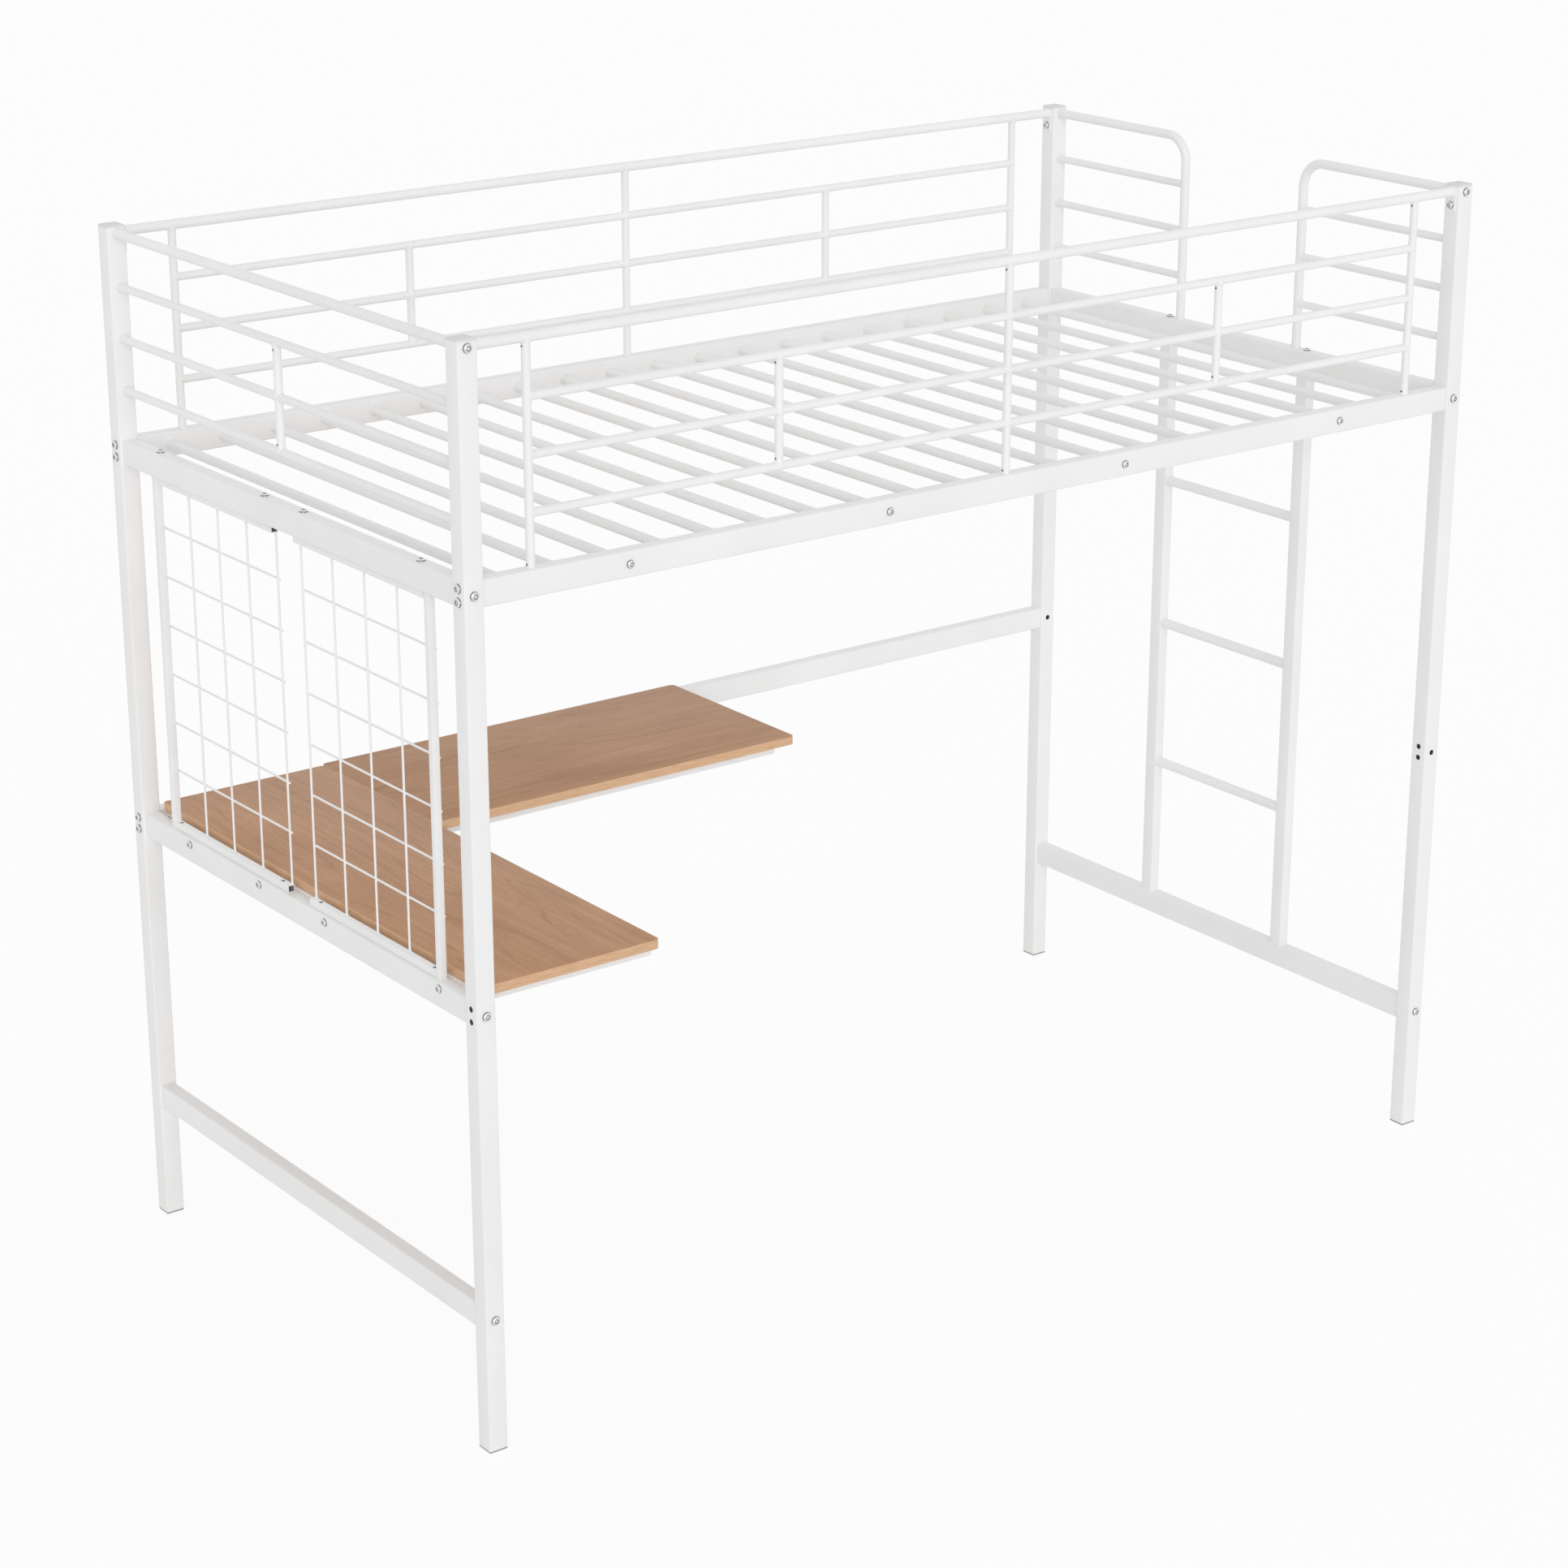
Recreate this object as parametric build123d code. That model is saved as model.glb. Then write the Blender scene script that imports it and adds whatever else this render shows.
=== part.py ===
from build123d import *

import os
from collections import namedtuple

# Twin loft bed of white steel tube with an L-shaped desk under it, in millimetres.
# X runs along the bed, from the desk end (-X) to the ladder end (+X). Y runs across it, from the
# front (-Y) to the back (+Y). Z runs up. The origin is on the floor under the middle of the bed.

# ---------------------------------------------------------------- driving dimensions

LENGTH = 1980
WIDTH = 1050
HEIGHT = 1700

# Round stock is drawn with flat sides, as there are over a hundred pieces of it.
WIRE_SIDES = 6
THIN_SIDES = 8
TUBE_SIDES = 12

POST = 32
POST_WALL = 1.5
POST_BEVEL = 2.5
FOOT_PLATE = 3
CAP_PLATE = 4
CAP_BEVEL = 1.5
PLUG_DEPTH = 14
PLUG_WALL = 2

RAIL_DEPTH = 25
RAIL_HEIGHT = 40
RAIL_WALL = 1.5
RAIL_BEVEL = 2
END_PLATE = 5

BED_RAIL_Z = 1338
DESK_RAIL_Z = 708
BOTTOM_RAIL_Z = 219

TOP_TUBE = 16
THIN_BAR = 13
TUBE_WALL = 1.2
SOCKET_DEPTH = 20
POST_SOCKET_DEPTH = 10
TOP_TUBE_Z = 1687
BAR_HEIGHTS = (1603, 1520, 1437)

UPRIGHT_X = (-870, 0, 870)
STRUT_X = (-435, 435)
TAB_WIDTH = 20
TAB_THICKNESS = 3
TAB_BOTTOM_Z = 1652
TAB_BEVEL = 6

SLAT_COUNT = 20
SLAT_PITCH = 94.6
SLAT_TUBE = 15
SLAT_WALL = 1

HANDLE_Y = 149
HANDLE_BEND = 45
LADDER_Y = 176
STILE_X = 20
STILE_Y = 28
RUNG = 18
RUNG_HEIGHTS = (502, 777, 1052)

GRID_TUBE = 12
GRID_TUBE_Y = 405
GRID_INNER_END_Y = 33
GRID_WIRE = 3.5
GRID_WIRE_Y = (37, 128, 219, 310)
GRID_LOWEST_WIRE_Z = 824
GRID_WIRE_PITCH_Z = 81.4
GRID_WIRE_ROWS = 6
GRID_WIRE_OVERHANG = 4

BOARD = 15
BOARD_BEVEL = 5
END_BOARD_WIDTH = 305
END_BOARD_FRONT_Y = -503
END_BOARD_BACK_Y = 487
BACK_BOARD_LENGTH = 731
BACK_BOARD_FRONT_Y = 130
BACK_BOARD_BACK_Y = 495
BOARD_SEAM = 0.5
DESK_TUBE = 20
DESK_FRAME_LIFT = 1
DESK_FRAME_SETBACK = 25
END_FRAME_RIBS_Y = (-160, 150)
BACK_FRAME_RIBS_X = (-410, -180)

BOLT = 8
BOLT_CLEARANCE = 0.4
BOLT_HEAD = 14
BOLT_HEAD_HEIGHT = 4
BOLT_HEAD_TAPER = 15
BOLT_PAIR_SPACING = 20
BOLT_BEYOND_PLATE = 3

# ---------------------------------------------------------------- places worked out from them

POST_X = LENGTH / 2 - POST / 2
POST_Y = WIDTH / 2 - POST / 2
INNER_X = LENGTH / 2 - POST
INNER_Y = WIDTH / 2 - POST
POST_TUBE_TOP = HEIGHT - CAP_PLATE
RAIL_INNER_X = POST_X - RAIL_DEPTH / 2
RAIL_INNER_Y = POST_Y - RAIL_DEPTH / 2
RAIL_BORE_END_Y = POST_Y + RAIL_DEPTH / 2 - RAIL_WALL
BED_RAIL_TOP = BED_RAIL_Z + RAIL_HEIGHT / 2
BED_RAIL_BOTTOM = BED_RAIL_Z - RAIL_HEIGHT / 2
DESK_RAIL_TOP = DESK_RAIL_Z + RAIL_HEIGHT / 2
BOTTOM_RAIL_TOP = BOTTOM_RAIL_Z + RAIL_HEIGHT / 2
BOARD_BOTTOM = DESK_RAIL_TOP + DESK_FRAME_LIFT
SLAT_X = [SLAT_PITCH * (i - (SLAT_COUNT - 1) / 2) for i in range(SLAT_COUNT)]

X_AXIS = (1, 0, 0)
Y_AXIS = (0, 1, 0)

# ---------------------------------------------------------------- stock


def bar(start, end, outline, side):
    """Outline extruded from start to end, with its own X turned to the direction `side`."""
    axis = Vector(*end) - Vector(*start)
    return extrude(Plane(origin=start, x_dir=side, z_dir=axis) * outline, amount=axis.length)


def side_of(start, end):
    """A direction square to a line that runs along X, Y or Z."""
    return Y_AXIS if start[0] != end[0] else X_AXIS


def bevelled_outline(width, height, bevel):
    """Rectangle with its four corners cut off."""
    return chamfer(Rectangle(width, height).vertices(), bevel)


def round_outline(diameter, sides):
    """Circle drawn with flat sides, which face along the axes and lie on the true diameter."""
    return RegularPolygon(diameter / 2, sides, major_radius=False, rotation=180 / sides)


def rod(start, end, diameter, sides=THIN_SIDES):
    """Solid round bar between two points. It is also the cutter for a hole or a coped end."""
    return bar(start, end, round_outline(diameter, sides), side_of(start, end))


def round_tube(start, end, diameter, wall, sides=THIN_SIDES):
    """Round tube between two points."""
    ring = round_outline(diameter, sides) - round_outline(diameter - 2 * wall, sides)
    return bar(start, end, ring, side_of(start, end))


def square_tube(start, end, size, wall):
    """Open-ended square tube between two points."""
    ring = Rectangle(size, size) - Rectangle(size - 2 * wall, size - 2 * wall)
    return bar(start, end, ring, side_of(start, end))


def save(name, solids):
    """Writes one named piece, which may be a group of separate solids."""
    flat = [solid for shape in solids for solid in shape.solids()]
    export_step(flat[0] if len(flat) == 1 else Compound(children=flat), f"parts/{name}.step")


# ---------------------------------------------------------------- bolts

Bolt = namedtuple("Bolt", "seat into")
BOLT_LENGTH = POST + END_PLATE + BOLT_BEYOND_PLATE


def along(bolt, distance):
    """The point on a bolt's axis this far past its seat."""
    return tuple(s + distance * i for s, i in zip(bolt.seat, bolt.into))


def bolt_solid(bolt):
    """Button-head bolt whose head stands on the post."""
    base = Plane(origin=bolt.seat, z_dir=[-i for i in bolt.into])
    head = extrude(base * round_outline(BOLT_HEAD, THIN_SIDES), BOLT_HEAD_HEIGHT, taper=BOLT_HEAD_TAPER)
    return head + rod(bolt.seat, along(bolt, BOLT_LENGTH), BOLT)


def drill(solid, bolts):
    """The solid with a clearance hole for every bolt of the list."""
    for bolt in bolts:
        solid -= rod(bolt.seat, along(bolt, BOLT_LENGTH), BOLT + BOLT_CLEARANCE)
    return solid


def cross_bolts(x_side, z):
    """One bolt at each end of a rail or tube that runs across the bed."""
    return [Bolt((x_side * POST_X, y * WIDTH / 2, z), (0, -y, 0)) for y in (-1, 1)]


def long_bolts(y_side, z):
    """Two bolts, one above the other, at each end of a rail that runs along the bed."""
    half = BOLT_PAIR_SPACING / 2
    return [
        Bolt((x * LENGTH / 2, y_side * POST_Y, z + dz), (-x, 0, 0))
        for x in (-1, 1)
        for dz in (-half, half)
    ]


POST_BOLTS = [
    *cross_bolts(-1, TOP_TUBE_Z),
    *cross_bolts(1, TOP_TUBE_Z),
    *cross_bolts(-1, BED_RAIL_Z),
    *cross_bolts(1, BED_RAIL_Z),
    *cross_bolts(-1, DESK_RAIL_Z),
    *cross_bolts(-1, BOTTOM_RAIL_Z),
    *cross_bolts(1, BOTTOM_RAIL_Z),
    *long_bolts(-1, BED_RAIL_Z),
    *long_bolts(1, BED_RAIL_Z),
    *long_bolts(1, DESK_RAIL_Z),
]

# The posts are drilled alike at both ends and sides, so the desk can be built at either end.
POST_HOLES = POST_BOLTS + cross_bolts(1, DESK_RAIL_Z) + long_bolts(-1, DESK_RAIL_Z)

# ---------------------------------------------------------------- posts


def at_corner(bolts, x_side, y_side):
    """The bolts of the list that go through one post."""
    return [b for b in bolts if b.seat[0] * x_side > 0 and b.seat[1] * y_side > 0]


def post(x_side, y_side):
    """Corner post: square tube drilled for every rail, with round holes for the thin bars."""
    x = x_side * POST_X
    y = y_side * POST_Y
    bore = POST - 2 * POST_WALL
    ring = bevelled_outline(POST, POST, POST_BEVEL) - Rectangle(bore, bore)
    solid = bar((x, y, FOOT_PLATE), (x, y, POST_TUBE_TOP), ring, X_AXIS)
    for z in BAR_HEIGHTS:
        solid -= rod((x, y_side * INNER_Y, z), (x, y_side * (INNER_Y + POST_SOCKET_DEPTH), z), THIN_BAR)
    return drill(solid, at_corner(POST_HOLES, x_side, y_side))


def plug(x_side, y_side, z, outward, plate):
    """Moulded end plug: a bevelled plate over the post's end and a square stub inside it."""
    end = Plane(origin=(x_side * POST_X, y_side * POST_Y, z), z_dir=(0, 0, outward))
    cover = extrude(end * bevelled_outline(POST, POST, POST_BEVEL), amount=plate)
    cover = chamfer((cover.faces() | end).sort_by(Axis.Z)[0 if outward < 0 else -1].edges(), CAP_BEVEL)
    bore = POST - 2 * POST_WALL
    stub = Rectangle(bore, bore) - Rectangle(bore - 2 * PLUG_WALL, bore - 2 * PLUG_WALL)
    return cover + extrude(end * stub, amount=-PLUG_DEPTH)


def foot(x_side, y_side):
    """Plug that the post stands on."""
    return plug(x_side, y_side, FOOT_PLATE, -1, FOOT_PLATE)


def cap(x_side, y_side):
    """Plug on top of the post, notched so that it clears the top bolt."""
    notch_height = PLUG_DEPTH - (POST_TUBE_TOP - TOP_TUBE_Z) + BOLT / 2 + BOLT_CLEARANCE
    notch = Box(BOLT + BOLT_CLEARANCE, POST, notch_height, align=(Align.CENTER, Align.CENTER, Align.MIN))
    place = Pos(x_side * POST_X, y_side * POST_Y, POST_TUBE_TOP - PLUG_DEPTH)
    return plug(x_side, y_side, POST_TUBE_TOP, 1, CAP_PLATE) - place * notch


# ---------------------------------------------------------------- rails


def rail(start, end, side):
    """Rectangular tube closed at each end by a welded plate, which the bolts screw into."""
    outline = bevelled_outline(RAIL_DEPTH, RAIL_HEIGHT, RAIL_BEVEL)
    bore = Rectangle(RAIL_DEPTH - 2 * RAIL_WALL, RAIL_HEIGHT - 2 * RAIL_WALL)
    plate = (Vector(*end) - Vector(*start)).normalized() * END_PLATE
    return bar(start, end, outline, side) - bar(Vector(*start) + plate, Vector(*end) - plate, bore, side)


def cross_rail(x_side, z):
    """Rail across the bed, between two posts."""
    solid = rail((x_side * POST_X, -INNER_Y, z), (x_side * POST_X, INNER_Y, z), X_AXIS)
    return drill(solid, cross_bolts(x_side, z))


def long_rail(y_side, z):
    """Rail along the bed, between two posts."""
    solid = rail((-INNER_X, y_side * POST_Y, z), (INNER_X, y_side * POST_Y, z), Y_AXIS)
    return drill(solid, long_bolts(y_side, z))


def top_socket(x, y, diameter, sides):
    """Cutter for the hole in a bed rail's top wall that an upright tube stands in."""
    return rod((x, y, BED_RAIL_TOP - SOCKET_DEPTH), (x, y, BED_RAIL_TOP), diameter, sides)


def side_rail(y_side):
    """Long bed rail, with a hole in its inner wall for each slat and in its top for each upright."""
    solid = long_rail(y_side, BED_RAIL_Z)
    for x in SLAT_X:
        inner = (x, y_side * RAIL_INNER_Y, BED_RAIL_Z)
        solid -= rod(inner, (x, y_side * POST_Y, BED_RAIL_Z), SLAT_TUBE)
    for x in UPRIGHT_X:
        solid -= top_socket(x, y_side * POST_Y, THIN_BAR, THIN_SIDES)
    return solid


def right_bed_rail():
    """Bed rail at the ladder end, with a hole in its top for each entry handle."""
    solid = cross_rail(1, BED_RAIL_Z)
    for y in (-HANDLE_Y, HANDLE_Y):
        solid -= top_socket(POST_X, y, TOP_TUBE, TUBE_SIDES)
    return solid


def slat(x):
    """Slat tube, which reaches through both inner walls to the side rails' outer walls."""
    start = (x, -RAIL_BORE_END_Y, BED_RAIL_Z)
    return round_tube(start, (x, RAIL_BORE_END_Y, BED_RAIL_Z), SLAT_TUBE, SLAT_WALL)


# ---------------------------------------------------------------- guards


def top_tube(start, end, bolts):
    """Top tube with a tapped plug in each end that a post bolt screws into."""
    solid = round_tube(start, end, TOP_TUBE, TUBE_WALL, TUBE_SIDES)
    plate = (Vector(*end) - Vector(*start)).normalized() * END_PLATE
    bore = TOP_TUBE - 2 * TUBE_WALL
    solid += rod(start, tuple(Vector(*start) + plate), bore, TUBE_SIDES)
    solid += rod(tuple(Vector(*end) - plate), end, bore, TUBE_SIDES)
    return drill(solid, bolts)


def guard_tab(x_side, y):
    """Plate on the end of a long guard's top tube that lies flat against the post."""
    top = TOP_TUBE_Z + TOP_TUBE / 2
    plate = Rectangle(TAB_WIDTH, top - TAB_BOTTOM_Z)
    plate = chamfer(plate.vertices().group_by(Axis.Y)[0], TAB_BEVEL)
    start = (x_side * (INNER_X - TAB_THICKNESS), y, (top + TAB_BOTTOM_Z) / 2)
    face = Plane(origin=start, x_dir=(0, x_side, 0), z_dir=(x_side, 0, 0))
    return extrude(face * plate, amount=TAB_THICKNESS)


def long_guard(y_side):
    """Welded guard along the bed: top tube, three uprights, and bars and struts between them."""
    y = y_side * POST_Y
    reach = INNER_X - TAB_THICKNESS
    solids = [round_tube((-reach, y, TOP_TUBE_Z), (reach, y, TOP_TUBE_Z), TOP_TUBE, TUBE_WALL, TUBE_SIDES)]
    solids += [guard_tab(-1, y), guard_tab(1, y)]
    top_core = rod((-reach, y, TOP_TUBE_Z), (reach, y, TOP_TUBE_Z), TOP_TUBE, TUBE_SIDES)
    uprights = [rod((x, y, BED_RAIL_TOP - SOCKET_DEPTH), (x, y, TOP_TUBE_Z), THIN_BAR) for x in UPRIGHT_X]
    solids += [upright - top_core for upright in uprights]
    bars = [rod((UPRIGHT_X[0], y, z), (UPRIGHT_X[-1], y, z), THIN_BAR) for z in BAR_HEIGHTS]
    for thin_bar in bars:
        solids.append(thin_bar - uprights[0] - uprights[1] - uprights[2])
    for x in STRUT_X:
        solids.append(strut(x, y, bars))
    return solids


def strut(x, y, bars):
    """Short upright welded between the highest and the lowest thin bar."""
    solid = rod((x, y, BAR_HEIGHTS[-1]), (x, y, BAR_HEIGHTS[0]), THIN_BAR)
    for thin_bar in bars:
        solid -= thin_bar
    return solid


def left_guard():
    """Three thin bars across the desk end, plugged into the posts and tied by a strut."""
    reach = INNER_Y + POST_SOCKET_DEPTH
    bars = [rod((-POST_X, -reach, z), (-POST_X, reach, z), THIN_BAR) for z in BAR_HEIGHTS]
    return [*bars, strut(-POST_X, 0, bars)]


def entry_handle(y_side):
    """Tube bent from the post down into the bed rail, with three thin bars back to the post."""
    y = y_side * HANDLE_Y
    post_end = (POST_X, y_side * INNER_Y, TOP_TUBE_Z)
    foot_end = (POST_X, y, BED_RAIL_TOP - SOCKET_DEPTH)
    path = FilletPolyline(post_end, (POST_X, y, TOP_TUBE_Z), foot_end, radius=HANDLE_BEND)
    section = Plane(origin=post_end, x_dir=X_AXIS, z_dir=(0, -y_side, 0))
    bore = round_outline(TOP_TUBE - 2 * TUBE_WALL, TUBE_SIDES)
    hoop = sweep(section * (round_outline(TOP_TUBE, TUBE_SIDES) - bore), path=path)
    hoop += extrude(section * bore, amount=END_PLATE)
    hoop = drill(hoop, at_corner(cross_bolts(1, TOP_TUBE_Z), 1, y_side))
    upright = rod(foot_end, (POST_X, y, TOP_TUBE_Z), TOP_TUBE, TUBE_SIDES)
    reach = y_side * (INNER_Y + POST_SOCKET_DEPTH)
    bars = [rod((POST_X, y, z), (POST_X, reach, z), THIN_BAR) - upright for z in BAR_HEIGHTS]
    return [hoop, *bars]


# ---------------------------------------------------------------- ladder and wire grids


def ladder():
    """Two flat stiles between the bottom rail and the bed rail, with three round rungs."""
    ring = Rectangle(STILE_X, STILE_Y) - Rectangle(STILE_X - 2 * TUBE_WALL, STILE_Y - 2 * TUBE_WALL)
    solids = []
    for y in (-LADDER_Y, LADDER_Y):
        solids.append(bar((POST_X, y, BOTTOM_RAIL_TOP), (POST_X, y, BED_RAIL_BOTTOM), ring, X_AXIS))
    reach = LADDER_Y - STILE_Y / 2
    for z in RUNG_HEIGHTS:
        solids.append(round_tube((POST_X, -reach, z), (POST_X, reach, z), RUNG, TUBE_WALL, TUBE_SIDES))
    return solids


def wire_grid(y_side):
    """Wire panel between the desk rail and the bed rail, on a frame open at its inner side."""
    x = -POST_X
    half = GRID_TUBE / 2
    tube_y = y_side * GRID_TUBE_Y
    tube_ends = [(x, tube_y, z) for z in (DESK_RAIL_TOP, BED_RAIL_BOTTOM)]
    solids = [square_tube(*tube_ends, GRID_TUBE, TUBE_WALL)]
    for z in (DESK_RAIL_TOP + half, BED_RAIL_BOTTOM - half):
        arm_ends = [(x, y_side * y, z) for y in (GRID_INNER_END_Y, GRID_TUBE_Y - half)]
        solids.append(square_tube(*arm_ends, GRID_TUBE, TUBE_WALL))
    cross_x = x + half + GRID_WIRE / 2
    upright_x = cross_x - GRID_WIRE
    low_z = DESK_RAIL_TOP + GRID_TUBE
    high_z = BED_RAIL_BOTTOM - GRID_TUBE
    for y in GRID_WIRE_Y:
        ends = [(upright_x, y_side * y, z) for z in (low_z, high_z)]
        solids.append(rod(*ends, GRID_WIRE, WIRE_SIDES))
    inner_y = y_side * (GRID_WIRE_Y[0] - GRID_WIRE_OVERHANG)
    outer_y = y_side * (GRID_TUBE_Y + half)
    for row in range(GRID_WIRE_ROWS):
        z = GRID_LOWEST_WIRE_Z + row * GRID_WIRE_PITCH_Z
        solids.append(rod((cross_x, inner_y, z), (cross_x, outer_y, z), GRID_WIRE, WIRE_SIDES))
    return solids


# ---------------------------------------------------------------- desk

END_BOARD_LEFT = -INNER_X + 1
END_BOARD_RIGHT = END_BOARD_LEFT + END_BOARD_WIDTH
BACK_BOARD_LEFT = END_BOARD_RIGHT + BOARD_SEAM
BACK_BOARD_RIGHT = BACK_BOARD_LEFT + BACK_BOARD_LENGTH


def board(left, right, front, back):
    """Laminated board with its corners taken off."""
    centre = Plane(origin=((left + right) / 2, (front + back) / 2, BOARD_BOTTOM))
    return extrude(centre * bevelled_outline(right - left, back - front, BOARD_BEVEL), amount=BOARD)


def desk_frame(left, right, front, back):
    """Outer tubes of a welded frame: front and back ones full length, sides between them."""
    z = BOARD_BOTTOM - DESK_TUBE / 2
    half = DESK_TUBE / 2
    solids = []
    for y in (front + half, back - half):
        solids.append(square_tube((left, y, z), (right, y, z), DESK_TUBE, TUBE_WALL))
    for x in (left + half, right - half):
        solids.append(frame_rib_along_y(x, front, back))
    return solids


def frame_rib_along_y(x, front, back):
    """Tube between the front and back tubes of a desk frame."""
    z = BOARD_BOTTOM - DESK_TUBE / 2
    return square_tube((x, front + DESK_TUBE, z), (x, back - DESK_TUBE, z), DESK_TUBE, TUBE_WALL)


def frame_rib_along_x(y, left, right):
    """Tube between the two side tubes of a desk frame."""
    z = BOARD_BOTTOM - DESK_TUBE / 2
    return square_tube((left + DESK_TUBE, y, z), (right - DESK_TUBE, y, z), DESK_TUBE, TUBE_WALL)


def end_desk_frame():
    """Frame under the end board, held beside the left desk rail."""
    sides = (-RAIL_INNER_X, BACK_BOARD_LEFT)
    ends = (END_BOARD_FRONT_Y + DESK_FRAME_SETBACK, END_BOARD_BACK_Y - DESK_FRAME_SETBACK)
    return [*desk_frame(*sides, *ends), *[frame_rib_along_x(y, *sides) for y in END_FRAME_RIBS_Y]]


def back_desk_frame():
    """Frame under the back board, held beside the back desk rail and the end frame."""
    ends = (BACK_BOARD_FRONT_Y + DESK_FRAME_SETBACK, RAIL_INNER_Y)
    sides = (BACK_BOARD_LEFT, BACK_BOARD_RIGHT - DESK_FRAME_SETBACK)
    return [*desk_frame(*sides, *ends), *[frame_rib_along_y(x, *ends) for x in BACK_FRAME_RIBS_X]]


# ---------------------------------------------------------------- the whole bed

os.makedirs("parts", exist_ok=True)

CORNERS = {
    "front_left": (-1, -1),
    "back_left": (-1, 1),
    "back_right": (1, 1),
    "front_right": (1, -1),
}

for corner_name, corner in CORNERS.items():
    save(f"post_{corner_name}", [post(*corner)])
    save(f"foot_{corner_name}", [foot(*corner)])
    save(f"cap_{corner_name}", [cap(*corner)])

save("left_bed_rail", [cross_rail(-1, BED_RAIL_Z)])
save("left_desk_rail", [cross_rail(-1, DESK_RAIL_Z)])
save("left_bottom_rail", [cross_rail(-1, BOTTOM_RAIL_Z)])
left_top_ends = [(-POST_X, y, TOP_TUBE_Z) for y in (-INNER_Y, INNER_Y)]
save("left_top_tube", [top_tube(*left_top_ends, cross_bolts(-1, TOP_TUBE_Z))])
save("left_guard", left_guard())
save("wire_grid_front", wire_grid(-1))
save("wire_grid_back", wire_grid(1))

save("right_bed_rail", [right_bed_rail()])
save("right_bottom_rail", [cross_rail(1, BOTTOM_RAIL_Z)])
save("entry_handle_front", entry_handle(-1))
save("entry_handle_back", entry_handle(1))
save("ladder", ladder())

save("side_rail_front", [side_rail(-1)])
save("side_rail_back", [side_rail(1)])
save("guard_front", long_guard(-1))
save("guard_back", long_guard(1))
for number, slat_x in enumerate(SLAT_X, start=1):
    save(f"slat_{number:02d}", [slat(slat_x)])

save("back_desk_rail", [long_rail(1, DESK_RAIL_Z)])
save("desk_frame_end", end_desk_frame())
save("desk_frame_back", back_desk_frame())
save("desk_board_end", [board(END_BOARD_LEFT, END_BOARD_RIGHT, END_BOARD_FRONT_Y, END_BOARD_BACK_Y)])
save("desk_board_back", [board(BACK_BOARD_LEFT, BACK_BOARD_RIGHT, BACK_BOARD_FRONT_Y, BACK_BOARD_BACK_Y)])

save("post_bolts", [bolt_solid(bolt) for bolt in POST_BOLTS])
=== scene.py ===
# %% [markdown]
# # A white tube loft bed with an L-shaped desk
# The bed is a steel frame: tubes that are cut square, welded into panels and bolted to four posts.
# Two oak-faced boards lie on welded frames below and make the desk. Almost every piece is an outline
# pulled along a line, so the lesson builds two small tools for that and uses them again and again.
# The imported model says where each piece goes. This script adds what a plain solid leaves out: round
# sections, weld beads, drilled holes, domed bolt heads, softened board edges, and the finishes.

# %% Load the frame
import math

import bmesh
import bpy
from mathutils import Matrix, Vector


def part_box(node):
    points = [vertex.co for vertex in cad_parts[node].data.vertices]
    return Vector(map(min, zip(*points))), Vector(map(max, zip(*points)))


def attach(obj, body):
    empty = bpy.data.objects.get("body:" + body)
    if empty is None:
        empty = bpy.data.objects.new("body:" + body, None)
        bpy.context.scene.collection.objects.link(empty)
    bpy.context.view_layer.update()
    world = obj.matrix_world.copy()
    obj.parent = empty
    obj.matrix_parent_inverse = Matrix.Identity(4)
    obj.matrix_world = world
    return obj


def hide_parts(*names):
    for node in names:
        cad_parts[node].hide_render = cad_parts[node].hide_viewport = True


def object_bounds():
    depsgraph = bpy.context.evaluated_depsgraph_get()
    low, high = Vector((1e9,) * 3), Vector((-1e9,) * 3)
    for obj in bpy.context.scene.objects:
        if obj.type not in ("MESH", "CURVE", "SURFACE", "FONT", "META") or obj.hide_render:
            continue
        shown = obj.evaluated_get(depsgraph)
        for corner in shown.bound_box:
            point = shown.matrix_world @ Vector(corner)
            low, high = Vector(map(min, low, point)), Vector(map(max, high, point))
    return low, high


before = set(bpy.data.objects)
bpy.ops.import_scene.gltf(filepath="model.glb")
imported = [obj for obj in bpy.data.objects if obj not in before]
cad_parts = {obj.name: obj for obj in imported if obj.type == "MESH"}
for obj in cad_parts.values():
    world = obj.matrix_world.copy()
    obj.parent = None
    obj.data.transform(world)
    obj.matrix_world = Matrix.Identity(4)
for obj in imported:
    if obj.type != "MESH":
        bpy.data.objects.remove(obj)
cad_low, cad_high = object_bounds()
print("bed box in metres:", [round(side, 3) for side in cad_high - cad_low])

# %% [markdown]
# ## Sizes
# A piece that is placed by eye never quite meets its neighbour. So places come from the packed
# model's own boxes, and only the stock sizes are written down here: tube widths, wall thickness and
# the heights at which bars are welded. They are in millimetres, as on a workshop drawing, and are
# turned into metres once, because Blender works in metres.

# %% Stock sizes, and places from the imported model
MM = 0.001
POST = 32 * MM
POST_CORNER = 2.5 * MM
RAIL_CORNER = 3 * MM
THIN_BAR = 13 * MM
TOP_TUBE = 16 * MM
RUNG = 18 * MM
SLAT = 15 * MM
GRID_TUBE = 12 * MM
WIRE = 3.5 * MM
DESK_TUBE = 20 * MM
TUBE_WALL = 1.2 * MM
STRUT_X = 435 * MM
UPRIGHTS = (-870 * MM, 0, 870 * MM)
BAR_HEIGHTS = (1603 * MM, 1520 * MM, 1437 * MM)
RUNG_HEIGHTS = (502 * MM, 777 * MM, 1052 * MM)

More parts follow.
